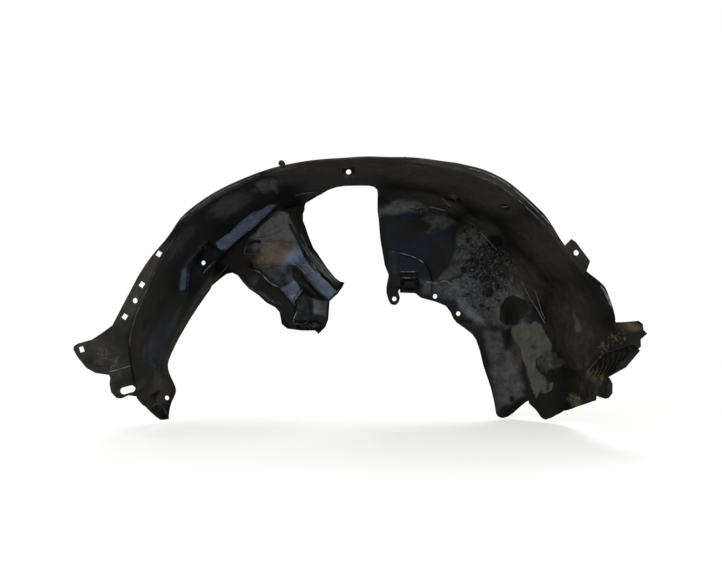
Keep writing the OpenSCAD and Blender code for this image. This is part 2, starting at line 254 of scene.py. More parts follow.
# Front side wall
FRONT_STEPS = {
    "gap_over_block": (4, 68, 96, 2, 223, 228, 2),
    "block": (3.5, 69, 97, 3, 201, 218, 2),
    "raised_face_of_block": (-5.5, 73, 93, 2, 204, 215, 2),
}
FRONT_RIDGES = {"slit": (2.5, 172, 193, 2, 143, 1.8)}
# The bulge of the front wall: its middle, height and width
BULGE_AT = (225, 120)
BULGE_HEIGHT, BULGE_W = -6, 45
# The raised panel's upper and front edge, as points across and up
PANEL_EDGE = [(40, 271), (51, 269), (64, 266), (80, 261), (96, 255), (106, 250.5), (111, 246), (117, 236),
              (121.5, 226), (122.5, 190)]
PANEL_HEIGHT = -4
PANEL_WALL, PANEL_FROM = (1.5, -2.5), (42, 62)
# The shoulder in front of the block, highest at its peak and falling away on both sides: height, peak,
# slope and width, then from, to and edge across
SHOULDER_HEIGHT = -2.5
SHOULDER_PEAK = (128, 213)
SHOULDER_SLOPE, SHOULDER_W = 0.12, 5
SHOULDER_SPAN = (105, 152, 8)
# The fold above the lower notch: a point of its line and how far the line leans, height, half width, and
# from where to where it grows downward
FOLD_AT = (270, 132)
FOLD_LEAN = 0.155
FOLD_HEIGHT, FOLD_HALF = -5, 22
FOLD_GROWS = (142, 118)
# The edge turned back at the notch: depth, a point of its line, the direction away from it, where the turn
# starts and is full along that direction, and the same across
TURNED_DEPTH = 10
TURNED_AT = (292, 4)
TURNED_AWAY = (0.74, 0.67)
TURNED_REACH, TURNED_FROM = (16, 0), (246, 262)


def rear_wall_relief(x, z):
    """Depth added to the rear side wall: rolled band, sunk plate, facet, web, clip seat and recesses."""
    side = BAND_ACROSS[0] * (BAND_FROM[0] - x) + BAND_ACROSS[1] * (BAND_FROM[1] - z)
    down = BAND_ACROSS[1] * (x - BAND_FROM[0]) + BAND_ACROSS[0] * (BAND_FROM[1] - z)
    low = step(*BAND_GROWS, down)
    roll, groove, rim = (height * bump(side - at, width)
                         for height, at, width in (BAND_ROLL, BAND_GROOVE, BAND_RIM))
    above = over_line(PLATE_EDGE, x, z) * PLATE_EDGE_COS
    inside = step(*PLATE_WALL, above)
    floor = PLATE_DEPTH * step(*PLATE_BESIDE_BAND, side) * step(*PLATE_BELOW_FOLD, z) * inside
    edge_bead = BEAD_HEIGHT * bump(above, BEAD_W) * between(x, *BEAD_SPAN)
    leaning = z + FACET_LEAN * (x - FACET_LEANS_ABOUT)
    facet = FACET_HEIGHT * step(*FACET_FROM, leaning) * step(*FACET_BESIDE_BAND, side) * inside
    past_web = x - np.interp(z, *np.array(WEB_EDGE, float).T)
    web = WEB_HEIGHT * between(z, *WEB_SPAN) * step(*WEB_FRONT, past_web) * step(*WEB_BACK, past_web)
    along = (x - RECESS_AT[0]) * RECESS_ALONG[0] + (z - RECESS_AT[1]) * RECESS_ALONG[1]
    up = (z - RECESS_AT[1]) * RECESS_ALONG[0] - (x - RECESS_AT[0]) * RECESS_ALONG[1]
    oval = np.hypot(along / RECESS_HALF[0], up / RECESS_HALF[1])
    height, at, width = RECESS_RIM
    recess = RECESS_DEPTH * step(*RECESS_WALL, oval) + height * bump(oval - at, width)
    return (low * (roll + groove) + rim + floor + edge_bead + facet + web + recess
            + steps(REAR_STEPS, x, z) + ridges(REAR_RIDGES, x, z))


def front_wall_relief(x, z):
    """Depth added to the front side wall: raised panel and block, slit, fold above the lower notch."""
    panel = PANEL_HEIGHT * step(*PANEL_WALL, over_line(PANEL_EDGE, x, z)) * step(*PANEL_FROM, x)
    over_shoulder = z - SHOULDER_PEAK[1] + SHOULDER_SLOPE * np.abs(x - SHOULDER_PEAK[0])
    shoulder = SHOULDER_HEIGHT * bump(over_shoulder, SHOULDER_W) * between(x, *SHOULDER_SPAN)
    bulge = BULGE_HEIGHT * bump(np.hypot(x - BULGE_AT[0], z - BULGE_AT[1]), BULGE_W)
    fold_line = FOLD_AT[0] + (FOLD_AT[1] - z) * FOLD_LEAN
    fold = FOLD_HEIGHT * np.clip(1 - np.abs(x - fold_line) / FOLD_HALF, 0, 1) * step(*FOLD_GROWS, z)
    away = TURNED_AWAY[0] * (TURNED_AT[0] - x) + TURNED_AWAY[1] * (z - TURNED_AT[1])
    turned = TURNED_DEPTH * step(*TURNED_REACH, away) * step(*TURNED_FROM, x)
    return (panel + shoulder + bulge + fold + turned + steps(FRONT_STEPS, x, z)
            + ridges(FRONT_RIDGES, x, z))


# On the tunnel, with angles for across and depths for up, and positive outward
TUNNEL_STEPS = {
    "notch": (6, 109.8, 111.2, 0.5, 22, 92, 5),
    "wedge": (-3, 111.8, 114.2, 0.6, 70, 188, 8),
    "pad_recess": (6, 133.3, 134.5, 0.6, 200, 228, 4),
}
TUNNEL_RIDGES = {"edge_groove": (2.6, 112, 133, 2, 10, 2.6)}
# Round dents: how deep, angle and half width in degrees, depth of the middle and half width along the depth
DENTS = {
    "rear_oval_dent": (2.5, 150.5, 2.4, 124, 18),
    "small_boss": (4, 55.6, 7 / MM_PER_DEGREE, 82, 7),
    "long_boss": (7, 66.8, 8 / ROOF_MM_PER_DEGREE, 190, 11),
}


# The raised strip of the rear tunnel: height, where it starts and is full in depth, where it ends, and from
# where to where with which edge, as angles
STRIP_HEIGHT = -5
STRIP_FROM, STRIP_FULL = 170, 208
STRIP_ENDS = (214, 209)
STRIP_SPAN = (139, 146, 2)


def tunnel_relief(angle, y):
    """Radius added to the tunnel, outward positive: steps, groove, raised strip and dents."""
    rising = np.clip((y - STRIP_FROM) / (STRIP_FULL - STRIP_FROM), 0, 1)
    strip = STRIP_HEIGHT * rising * step(*STRIP_ENDS, y) * between(angle, *STRIP_SPAN)
    dents = sum(deep * bump(angle - middle, half_angle) * bump(y - at, half_depth)
                for deep, middle, half_angle, at, half_depth in DENTS.values())
    return strip + dents + steps(TUNNEL_STEPS, angle, y) + ridges(TUNNEL_RIDGES, angle, y)


def waviness(angle, v):
    """The slow unevenness of a thin moulding that has been pulled off, well under a millimetre."""
    waves = ((0.31, 0.9, 0.0), (0.17, -1.3, 1.7), (0.47, 0.5, 4.1), (0.62, -0.8, 2.6))
    return sum(WAVE_HEIGHT * np.sin(a * angle + b * v + phase) for a, b, phase in waves)


def face_grid():
    """The side of the moulding that faces the wheel, as points of shape (stations, columns, 3)."""
    angle = np.linspace(REAR_ANGLE, FRONT_ANGLE, STATIONS + 1)
    v = np.concatenate([np.linspace(LINE_AT[k], LINE_AT[k + 1], n, endpoint=False)
                        for k, n in enumerate(COLUMNS_BETWEEN)] + [[LINE_AT[-1]]])
    r, y = rounded(angle, v)
    wide_angle, wide_v = np.meshgrid(angle, v, indexing="ij")
    in_tunnel = step(*TUNNEL_STARTS, wide_v) * step(*TUNNEL_ENDS, wide_v)
    r = r + in_tunnel * tunnel_relief(wide_angle, y) + waviness(wide_angle, wide_v)
    x = r * np.cos(np.radians(wide_angle))
    z = r * np.sin(np.radians(wide_angle))
    on_wall = np.clip((wide_v - LINE_AT[4]) / WALL_COMES_IN, 0, 1) * (wide_angle < SIDE_WALLS_FROM)
    y = y + on_wall * np.where(x < 0, rear_wall_relief(x, z), front_wall_relief(x, z))
    return np.stack((x, np.maximum(y, LIP_LIMIT), z), axis=-1)


def grid_normals(grid):
    """Unit normals of a grid of points, outward from the wheel."""
    along = np.gradient(grid, axis=0)
    over = np.gradient(grid, axis=1)
    normal = np.cross(along, over)
    return normal / np.linalg.norm(normal, axis=-1, keepdims=True)


def mesh_object(name, points, faces):
    """A mesh object from points in millimetres and faces, placed in the frame through its vertices."""
    mesh = bpy.data.meshes.new(name)
    mesh.from_pydata(to_frame(points).tolist(), [], [list(map(int, face)) for face in faces])
    mesh.update()
    thing = bpy.data.objects.new(name, mesh)
    bpy.context.scene.collection.objects.link(thing)
    return thing


def sheet():
    """Both faces of the moulding and its closed border, one wall thickness apart."""
    near = face_grid()
    far = near + WALL_T * grid_normals(near)
    rows, cols = near.shape[:2]
    index = np.arange(rows * cols).reshape(rows, cols)
    a, b = index[:-1, :-1].ravel(), index[1:, :-1].ravel()
    c, d = index[1:, 1:].ravel(), index[:-1, 1:].ravel()
    shift = rows * cols
    faces = [np.stack(f, axis=1) for f in ((a, b, c, d), (d + shift, c + shift, b + shift, a + shift))]
    rim = np.concatenate((index[0, :], index[1:, -1], index[-1, -2::-1], index[-2::-1, 0]))
    here, there = rim[:-1], rim[1:]
    faces.append(np.stack((here, there, there + shift, here + shift), axis=1))
    shell = mesh_object("liner_shell", np.concatenate((near.reshape(-1, 3), far.reshape(-1, 3))),
                        np.concatenate(faces))
    outward(shell)
    return shell


# Free edges that the moulding is trimmed to. The outlines are points across and up, the two ends points in
# depth and up, and the edge of the bridge over the strut opening points across and in depth.
REAR_OUTLINE = [(-367, 148.5), (-381, 138), (-397, 127.5), (-417, 122), (-423, 118), (-424, 113),
                (-418, 102), (-405, 86), (-392, 78.5), (-372, 75.5), (-370.5, 71), (-371.5, 62), (-369, 50),
                (-361, 41.5), (-354, 41), (-344, 45.5), (-331, 43.5), (-331, -80), (-480, -80), (-480, 224),
                (-327, 224.5)]
REAR_END = [(20, 43.5), (45, 41), (60, 36), (110, 20), (135, 13), (170, 0), (205, -13), (225, -21),
            (240, -23), (300, -10), (300, -90), (20, -90)]
STRUT_OUTLINE = [(-262, 207), (-248, 219), (-238, 228), (-229, 230), (-219, 225), (-211, 214), (-200, 202),
                 (-184, 191), (-169, 177), (-154, 169), (-147, 161), (-145, 152), (-142, 138), (-135, 132),
                 (-108, 128), (-84, 128), (-78, 122), (-66, 134), (-61, 147), (-58, 180), (-44, 193),
                 (-35, 206), (-32, 213), (-40, 215), (-49, 222), (-62, 238), (-80, 265), (-87, 274),
                 (-95, 294), (-101, 312), (-105, 322), (-105, 334), (-101, 343), (-90, 351), (-60, 353),
                 (0, 357), (24, 358), (26, 339), (28, 326), (31, 290), (39, 244), (49, 219), (65, 212),
                 (66, 195), (93, 194), (103, 186), (129, 179), (147, 171.5), (155, 161), (160, 150),
                 (166, 142), (179, 133), (193, 122), (200, 112), (207, 92), (213, 67), (227, 26), (233, 0),
                 (236, -19), (240, -24.5), (247, -26.5), (258, -24.5), (268, -18.5), (278, -8), (288, 2),
                 (293, 5), (293, -80), (-300, -80), (-300, 120)]
BRIDGE_EDGE = [(-106, 330), (-104, 283), (-99, 268), (-88, 256), (-72, 238), (-57, 210), (-43, 192),
               (-29, 183), (-6, 180), (11, 182), (19, 190), (24, 206), (26, 240), (26, 330)]
FRONT_END = [(-60, 38), (10, 41), (40, 37), (80, 28.5), (120, 19), (170, 8), (225, -6), (240, -16),
             (246, -21), (253, -24.5), (259, -22), (268, -11), (276, -3), (284, 4), (290, 5.5), (330, 5.5),
             (330, -90), (-60, -90)]
FRONT_OUTLINE = [(349, 206), (359, 181), (368.5, 155.5), (371, 152.5), (399, 155.5), (404.5, 151),
                 (406, 142.5), (411, 137), (403, 128.5), (403, 118), (391, 106), (369, 82), (359, 74),
                 (363, 64), (362.5, 50), (358, 43), (350, 39), (338, 33), (338, 20), (460, 20), (460, 206)]

# Clip holes are a little narrower one way, by this share
CLIP_HOLE = 8.0
CLIP_HOLE_NARROW = 0.86
SCREW_HOLE_D = 8.0
RING_D = 17.0
# Clip holes of the rear flange, each with its turn in the plane of the wheel
SQUARE_HOLES = [(-299, 13, 253, -33), (-324, 13, 208, -33), (-349, 13, 161, -33), (-412, 13, 113, 16)]
# Place across, front of the ring, height, thickness of the ring
RINGED_HOLES = [(-334, 12, 184.5, 5), (-271, 221.5, 246, 9), (-337, 242, 14, 5), (128, 283.5, 188.5, 6),
                (169, 284, 158, 5)]
BRACKET_HOLE = (56, 286.5, 184)
BRACKET_T = 3
# How far outboard of the bracket's middle the block begins and ends
BLOCK_FROM, BLOCK_TO = 9, 1
BRACKET_OUTLINE = [(46, 226), (66, 226), (68, 206), (63, 197), (66, 186), (64, 179), (60, 174), (55, 173),
                   (50, 175), (46, 181), (42, 195), (42, 204)]
BLOCK_OUTLINE = [(46, 226), (66, 226), (67, 206), (44, 206)]
TAB_HOLE = (309, 0, 254)
# Depth of the edge tab's front and of its back
TAB_FROM, TAB_TO = -2, 1
TAB_OUTLINE = [(290, 262), (302, 274), (308, 270), (329, 242), (324, 228), (318, 222), (306, 240)]
# Locating peg on the crown's edge: place across, front, height, diameter and length
PEG = (-118, -3, 383.5, 9, 14)
SLOT_AT = (-345.5, 18, 53.5)
SLOT_TILT, SLOT_L, SLOT_W = 15, 22, 10
# Screw pockets of the roof: form, angle, depth of the end wall, roof radius, radius of the arch at the
# outer side and at the end wall, length, width
POCKETS = [("block", 93.35, 118, 394, 386, 378.5, 60, 20), ("oval", 67.2, 186, 387, 381, 376, 34, 16),
           ("block", 79, 34, 397, 394, 391.5, 20, 26)]
OVAL_SIDES = 32
# Cosine of the half turn past which a corner of the vent's rim is carried no further
SHARPEST_CORNER = 0.4
VENT_OPENING = [(5, 112), (11, 118), (57, 105), (72, 93), (91, 76), (87, 68), (66, 70), (30, 88)]
VENT_RIGHT = (394, -8)
VENT_TURN = 120
VENT_DEPTH = 9
# How far the vent's frame stands out in front of its face, and how far its hollow is cut past both ends
VENT_PROUD = 5
VENT_CUT_PAST = 3
# How far a cutting bar runs past the sheet on each side, at the holes, at the slot and at the vent, and how
# long the bar for a screw hole is
HOLE_REACH, SLOT_REACH, VENT_REACH = 12, 15, 30
HOLE_BAR_L = 28
# How far the hollow of a pocket runs down through the arch
POCKET_REACH = 15


def anticlockwise(outline):
    """The outline, turned round where it runs clockwise."""
    area = sum(a[0] * b[1] - b[0] * a[1] for a, b in zip(outline, outline[1:] + outline[:1]))
    return outline if area > 0 else outline[::-1]


def prism(name, outline, low, high, place):
    """A flat outline carried from low to high; place(u, w, d) gives a point's position."""
    outline = anticlockwise(list(outline))
    n = len(outline)
    points = [place(u, w, d) for d in (low, high) for u, w in outline]
    faces = [list(range(n))[::-1], list(range(n, 2 * n))]
    faces += [[k, (k + 1) % n, (k + 1) % n + n, k + n] for k in range(n)]
    thing = mesh_object(name, points, faces)
    outward(thing)
    return thing


def outward(thing):
    """Turns a closed mesh's faces outward where its volume came out negative."""
    work = bmesh.new()
    work.from_mesh(thing.data)
    if work.calc_volume(signed=True) < 0:
        bmesh.ops.reverse_faces(work, faces=work.faces)
    work.to_mesh(thing.data)
    work.free()


def slab(name, outline, y0, y1):
    """An outline across and up, carried along the depth."""
    return prism(name, outline, y0, y1, lambda u, w, d: (u, d, w))


def plan(name, outline, z0, z1):
    """An outline across and in depth, carried up."""
    return prism(name, outline, z0, z1, lambda u, w, d: (u, w, d))


def profile(name, outline, x0, x1):
    """An outline in depth and up, carried across."""
    return prism(name, outline, x0, x1, lambda u, w, d: (d, u, w))


def round_bar(name, x, y0, z, diameter, length, sides=40):
    """A round bar along the depth, from y0 on."""
    turns = [math.tau * k / sides for k in range(sides)]
    ring = [(x + diameter / 2 * math.cos(t), z + diameter / 2 * math.sin(t)) for t in turns]
    return slab(name, ring, y0, y0 + length)


def clip_bar(x, y, z, turn):
    """The bar that cuts a clip hole: a little narrower one way, and turned in the plane of the wheel."""
    c, s = math.cos(math.radians(turn)) * CLIP_HOLE / 2, math.sin(math.radians(turn)) * CLIP_HOLE / 2
    n = CLIP_HOLE_NARROW
    corners = ((n, 1), (-n, 1), (-n, -1), (n, -1))
    return slab("hole", [(x + a * c - b * s, z + a * s + b * c) for a, b in corners],
                y - HOLE_REACH, y + HOLE_REACH)


def slot_bar(name):
    """The bar that cuts the adjusting slot, with round ends."""
    c, s = math.cos(math.radians(SLOT_TILT)), math.sin(math.radians(SLOT_TILT))
    ends = []
    for side, start in ((1, -90), (-1, 90)):
        for k in range(13):
            turn = math.radians(start + 15 * k)
            u = side * (SLOT_L - SLOT_W) / 2 + SLOT_W / 2 * math.cos(turn)
            w = SLOT_W / 2 * math.sin(turn)
            ends.append((SLOT_AT[0] + u * c - w * s, SLOT_AT[2] + u * s + w * c))
    return slab(name, ends, SLOT_AT[1] - SLOT_REACH, SLOT_AT[1] + SLOT_REACH)


def pocket(name, p, grow, lower):
    """A pocket pressed outward through the arch at its own angle, as a block or as an upright oval."""
    form, angle, end, roof, near, far, length, width = p
    turn = math.radians(90 - angle)

    def place(y, r, w):
        return (w * math.cos(turn) + r * math.sin(turn), y, r * math.cos(turn) - w * math.sin(turn))

    if form == "oval":
        middle, half = end - length / 2, length / 2 + grow
        corners = [math.tau * k / OVAL_SIDES for k in range(OVAL_SIDES)]
        ring = [(middle + half * math.cos(c), (width / 2 + grow) * math.sin(c)) for c in corners]
        return prism(name, ring, far - lower, roof + grow, lambda y, w, r: place(y, r, w))
    side = [(end - length - grow, near - lower), (end + grow, far - lower), (end + grow, roof + grow),
            (end - length - grow, roof + grow)]
    return prism(name, side, -width / 2 - grow, width / 2 + grow, place)


def vent_place(u, w, d):
    """A point of the vent: u along it from its outer end, w up, d inboard from its face."""
    turn = math.radians(VENT_TURN)
    return (VENT_RIGHT[0] + u * math.cos(turn) + d * math.sin(turn),
            VENT_RIGHT[1] + u * math.sin(turn) - d * math.cos(turn), w)


def offset_outline(outline, distance):
    """The outline moved outward by a distance, corner by corner, and not much further at a sharp one."""
    outline = anticlockwise(list(outline))
    moved = []
    for k, (u, w) in enumerate(outline):
        before, after = Vector(outline[k - 1]), Vector(outline[(k + 1) % len(outline)])
        here = Vector((u, w))
        a, b = (here - before).normalized(), (after - here).normalized()
        normal = (Vector((a.y, -a.x)) + Vector((b.y, -b.x))).normalized()
        reach = distance / max(normal.dot(Vector((a.y, -a.x))), SHARPEST_CORNER)
        moved.append(tuple(here + normal * reach))
    return moved


def combine(target, tool, operation):
    """Adds, cuts or keeps with the tool, and removes it."""
    change = target.modifiers.new("combine", "BOOLEAN")
    change.operation = operation
    change.solver = "MANIFOLD"
    change.object = tool
    bpy.context.view_layer.update()
    result = bpy.data.meshes.new_from_object(target.evaluated_get(bpy.context.evaluated_depsgraph_get()))
    target.modifiers.clear()
    old, target.data = target.data, result
    bpy.data.meshes.remove(old)
    mesh = tool.data
    bpy.data.objects.remove(tool)
    bpy.data.meshes.remove(mesh)


# What is trimmed off the sheet: how the outline is carried, the outline, from and to
EDGE_CUTS = {
    "rear_cut": (slab, REAR_OUTLINE, -40, 22),
    "front_cut": (slab, FRONT_OUTLINE, -40, 60),
    "strut_cut": (slab, STRUT_OUTLINE, 150, 330),
    "bridge_cut": (plan, BRIDGE_EDGE, 337, 427),
    "rear_end_cut": (profile, REAR_END, -480, -280),
    "front_end_cut": (profile, FRONT_END, 290, 490),
}


def trimmed_shell():
    """The sheet with its pockets, trimmed to its free edges and opened for the vent."""
    shell = sheet()
    for p in POCKETS:
        combine(shell, pocket("pocket", p, WALL_T, 0), "UNION")
    for name, (carried, outline, low, high) in EDGE_CUTS.items():
        combine(shell, carried(name, outline, low, high), "DIFFERENCE")
    for p in POCKETS:
        combine(shell, pocket("pocket", p, 0, POCKET_REACH), "DIFFERENCE")
    vent = prism("vent", VENT_OPENING, -VENT_REACH, VENT_DEPTH + VENT_REACH, vent_place)
    combine(shell, vent, "DIFFERENCE")
    return shell


def add_fixings(shell):
    """Joins the vent's frame, rings, bracket, tab and peg to the shell, and cuts every hole."""
    rim = offset_outline(VENT_OPENING, WALL_T)
    vent_frame = prism("vent_frame", rim, -VENT_PROUD, VENT_DEPTH, vent_place)
    inside = prism("inside", VENT_OPENING, -VENT_PROUD - VENT_CUT_PAST, VENT_DEPTH + VENT_CUT_PAST,
                   vent_place)
    combine(vent_frame, inside, "DIFFERENCE")
    combine(shell, vent_frame, "UNION")
    for x, y, z, thick in RINGED_HOLES:
        combine(shell, round_bar("ring", x, y, z, RING_D, thick), "UNION")
    at = BRACKET_HOLE[1]
    combine(shell, slab("bracket", BRACKET_OUTLINE, at - BRACKET_T / 2, at + BRACKET_T / 2), "UNION")
    combine(shell, slab("block", BLOCK_OUTLINE, at - BLOCK_FROM, at - BLOCK_TO), "UNION")
    combine(shell, slab("edge_tab", TAB_OUTLINE, TAB_FROM, TAB_TO), "UNION")
    combine(shell, round_bar("peg", *PEG), "UNION")
    for hole in SQUARE_HOLES:
        combine(shell, clip_bar(*hole), "DIFFERENCE")
    for x, y, z in [h[:3] for h in RINGED_HOLES] + [BRACKET_HOLE, TAB_HOLE, CROWN_HOLE]:
        combine(shell, round_bar("hole", x, y - HOLE_REACH, z, SCREW_HOLE_D, HOLE_BAR_L), "DIFFERENCE")
    combine(shell, slot_bar("hole"), "DIFFERENCE")


# Thin raised lines of the moulding: bead radius, how bright its painted highlight is, then points across
# and up on the walls and the flange. A line without a painted highlight is painted dark, as shade along a
# fold or groove.
WALL_LINES = {
    "panel_line": (1.3, 1.0, [(52, 268), (66, 265), (84, 260), (98, 254), (108, 247), (110, 244)]),
    "block_upper_line": (1.1, 0.75, [(66, 232), (82, 232), (98, 232)]),
    "block_lower_line": (1.1, 0.6, [(67, 221), (82, 221), (95, 221)]),
    "ledge_line": (1.5, 0.7, [(105, 216), (119, 213), (131, 212), (145, 216), (154, 212), (163, 205)]),
    "plate_line": (1.2, 1.0, [(-190, 235), (-181, 230), (-175, 225), (-167, 216), (-157, 209),
                              (-147, 205)]),
    "plate_line_low": (1.0, 0.4, [(-147, 205), (-138, 196), (-130, 187), (-123, 177), (-116, 171)]),
    "plate_top_line": (1.0, 0.55, [(-187, 238), (-176, 240), (-167, 242), (-155, 240), (-139, 240)]),
    "band_foot_line": (1.3, 0.75, [(-139, 240), (-125, 246), (-114, 242), (-105, 233), (-96, 224),
                                   (-89, 216)]),
    "facet_line": (1.9, 1.1, [(-107, 201), (-112, 193), (-117, 186), (-122, 178)]),
    "band_streak": (1.6, 0.8, [(-109, 257), (-105, 249), (-99, 242)]),
    "band_streak_low": (1.7, 0.8, [(-91, 248), (-85, 240), (-78, 230), (-72, 220)]),
    "opening_line": (1.2, 0.45, [(-110, 302), (-103, 286), (-94, 268), (-82, 251), (-66, 235), (-51, 219),
                                 (-40, 213)]),
    "opening_back_line": (0.9, 0.2, [(-128, 316), (-117, 295), (-110, 281), (-103, 263)]),
    "fold_line": (0.9, 0.35, [(-175, 285), (-160, 286), (-142, 286), (-126, 285), (-112, 286)]),
    "upper_faint_line": (0.8, 0.3, [(-198, 291), (-175, 293), (-159, 298), (-144, 305)]),
    "recess_line": (0.9, 0.3, [(-203, 279), (-207, 272), (-207, 263), (-198, 263), (-188, 263), (-177, 274),
                               (-175, 284)]),
    "gusset_line": (1.6, 1.0, [(-116, 163), (-118, 156), (-121, 149), (-123, 143)]),
    "gusset_sill_line": (1.0, 0.4, [(-123, 141), (-111, 139), (-102, 141), (-95, 147)]),
    "web_rim": (1.0, 0.3, [(-216, 222), (-205, 211), (-198, 205), (-188, 200), (-177, 196), (-170, 189),
                           (-162, 182), (-149, 179), (-142, 172)]),
    "web_outer_rim": (1.0, 0.3, [(-209, 214), (-201, 205), (-193, 200), (-184, 196), (-170, 186),
                                 (-160, 179), (-147, 174)]),
    "pad_line": (1.1, 0.85, [(-272, 229), (-267, 234), (-261, 241), (-254, 248)]),
    "edge_rim_line": (1.3, 0.25, [(-281, 189), (-269, 201), (-256, 218), (-246, 230), (-236, 245)]),
    "flange_step": (1.4, 0.45, [(-371, 80.5), (-359, 83), (-349, 86), (-341, 89)]),
    "foot_inner_line": (1.1, 0.4, [(-347, 21), (-345, 6), (-340, -8), (-335, -17)]),
    "front_wall_nick": (1.6, 1.1, [(235, 95), (237, 92), (239, 89)]),
}
# The same on the tunnel, as angle and depth
ROOF_LINES = {
    "strip_upper_line": (1.0, 0.55, [(131.5, 217), (129, 217), (126.5, 218), (123, 215), (120, 214),
                                     (117.5, 216)]),
    "strip_lower_line": (1.0, 0.45, [(131.5, 235), (128.5, 237), (124.5, 236), (121.5, 236), (118, 235),
                                     (115.5, 234)]),
    "strip_end_line": (1.0, 0.6, [(131.5, 217), (132, 226), (131.5, 235)]),
    "curved_strip_line": (1.3, 0.9, [(140, 211), (141, 212), (143, 213), (144.5, 213), (146, 212)]),
    "ridge_end_line": (1.2, 0.5, [(108, 226), (106, 224), (104, 222), (102, 220)]),
    "edge_groove": (1.6, 0.0, [(139, 25), (136.4, 20), (133.8, 22), (131.5, 14), (129.3, 8), (127.5, 9.5),
                               (125.8, 16), (124, 26), (121.5, 17), (119.3, 9.5), (117.4, 9), (115.5, 7.5),
                               (112, 7.5)]),
    "rear_edge_rim": (1.2, 0.3, [(134, 2.5), (130, 2.5), (126, 2.5), (122, 2.5), (118, 2.5), (112, 2.5)]),
    "front_edge_rim": (1.3, 0.5, [(68, -8), (66, -8.5), (60, -8.5), (54, -8.5), (49, -8), (45, -3)]),
    "front_edge_inner_rim": (1.0, 0.35, [(66, 0), (62, 0), (57, 0), (52, 0), (48, 0)]),
    "corner_rim": (1.8, 0.65, [(31, -4), (29.5, -4.5), (27.5, -4), (25, -3), (23.5, -3)]),
    "fold_bead": (1.1, 0.6, [(81, 262), (79.5, 260), (78, 262), (77, 262)]),
    "fold_bead_front": (1.2, 0.7, [(75, 250), (73.5, 252), (72, 253), (70, 247), (68.5, 243), (67, 238)]),
    "boss_line": (1.2, 0.7, [(69.3, 187), (68.6, 198), (67.8, 206), (66.8, 210), (65.6, 212)]),
    "small_boss_line": (1.2, 0.5, [(57, 96), (56.5, 88), (55.7, 83)]),
    "curved_ridge_line": (1.3, 0.55, [(56, 250), (53.5, 255), (51, 258), (49, 260)]),
    "lower_fold_line": (1.1, 0.45, [(38, 261), (34.5, 263), (32.5, 262), (30, 256), (27.5, 250),
                                    (24.5, 244)]),
    "lower_fold_line_outer": (1.0, 0.4, [(34, 240), (31.5, 243), (28.5, 244), (25.5, 241)]),
    "flange_fold": (1.2, 0.25, [(134.5, 16), (138, 16), (141, 17), (143, 16), (146, 17), (149.5, 15.5),
                                (153.5, 16), (156.5, 16), (158.5, 16), (161, 17)]),
}
LINE_PITCH = 2.5
BEAD_SIDES = 8
# A bead's thickness at its end, and what every point further in adds until it is full, as shares
BEAD_END, BEAD_SWELLS = 0.35, 0.25


def smooth_path(points, pitch):
    """A smooth path through the points, at an even pitch."""
    p = np.array(points, float)
    p = np.vstack((2 * p[0] - p[1], p, 2 * p[-1] - p[-2]))
    path = []
    for a, b, c, d in zip(p, p[1:], p[2:], p[3:]):
        count = max(2, int(np.linalg.norm(c - b) / pitch))
        for t in np.arange(count) / count:
            path.append(0.5 * (2 * b + (c - a) * t + (2 * a - 5 * b + 4 * c - d) * t * t
                               + (3 * b - a - 3 * c + d) * t ** 3))
    return path + [p[-2]]


def wall_point(surface, x, z):
    """The point of a wall that faces the wheel, straight inboard from (x, z)."""
    return surface.ray_cast(Vector(to_frame((x, -60, z))), Vector((0, 1, 0)))[0]


def roof_point(surface, angle, y):
    """The point of the tunnel at an angle about the wheel's axis and a depth."""
    turn = math.radians(angle)
    return surface.ray_cast(Vector(to_frame((0, y, 0))), Vector((math.cos(turn), 0, math.sin(turn))))[0]


def group_input(tree, name, kind, value=None):
    """Gives a tree a named input and returns the identifier by which a modifier sets it."""
    socket = tree.interface.new_socket(name, in_out="INPUT", socket_type=kind)
    if value is not None:
        socket.default_value = value
    return socket.identifier


def add(tree, kind, inputs=None, **settings):
    """Adds a node with its settings.

    Inputs gives sockets, by name or number, a value, another node's output, or a node for its first output.
    """
    made = tree.nodes.new(kind)
    for key, value in settings.items():
        setattr(made, key, value)
    for key, value in (inputs or {}).items():
        if isinstance(value, bpy.types.Node):
            value = value.outputs[0]
        if isinstance(value, bpy.types.NodeSocket):
            tree.links.new(value, made.inputs[key])
        else:
            made.inputs[key].default_value = value
    return made


def new_node_group(name):
    """A Geometry Nodes tree that takes and gives geometry."""
    tree = bpy.data.node_groups.new(name, "GeometryNodeTree")
    tree.interface.new_socket("Geometry", in_out="INPUT", socket_type="NodeSocketGeometry")
    tree.interface.new_socket("Geometry", in_out="OUTPUT", socket_type="NodeSocketGeometry")
    return tree


def finish_tree(tree, geometry, material):
    """Makes the instances real and gives them their material, as the last step of a tree."""
    realized = add(tree, "GeometryNodeRealizeInstances", {"Geometry": geometry})
    painted = add(tree, "GeometryNodeSetMaterial", {"Geometry": realized, "Material": material})
    add(tree, "NodeGroupOutput", {0: painted})


def grown(name, carrier, tree, values):
    """Runs the tree on the carrier and returns what it makes as a plain mesh object."""
    change = carrier.modifiers.new("grow", "NODES")
    change.node_group = tree
    for socket, value in values.items():
        change[socket] = value
    bpy.context.view_layer.update()
    mesh = bpy.data.meshes.new_from_object(carrier.evaluated_get(bpy.context.evaluated_depsgraph_get()))
    carrier.modifiers.remove(change)
    mesh.name = name
    thing = bpy.data.objects.new(name, mesh)
    bpy.context.scene.collection.objects.link(thing)
    return thing


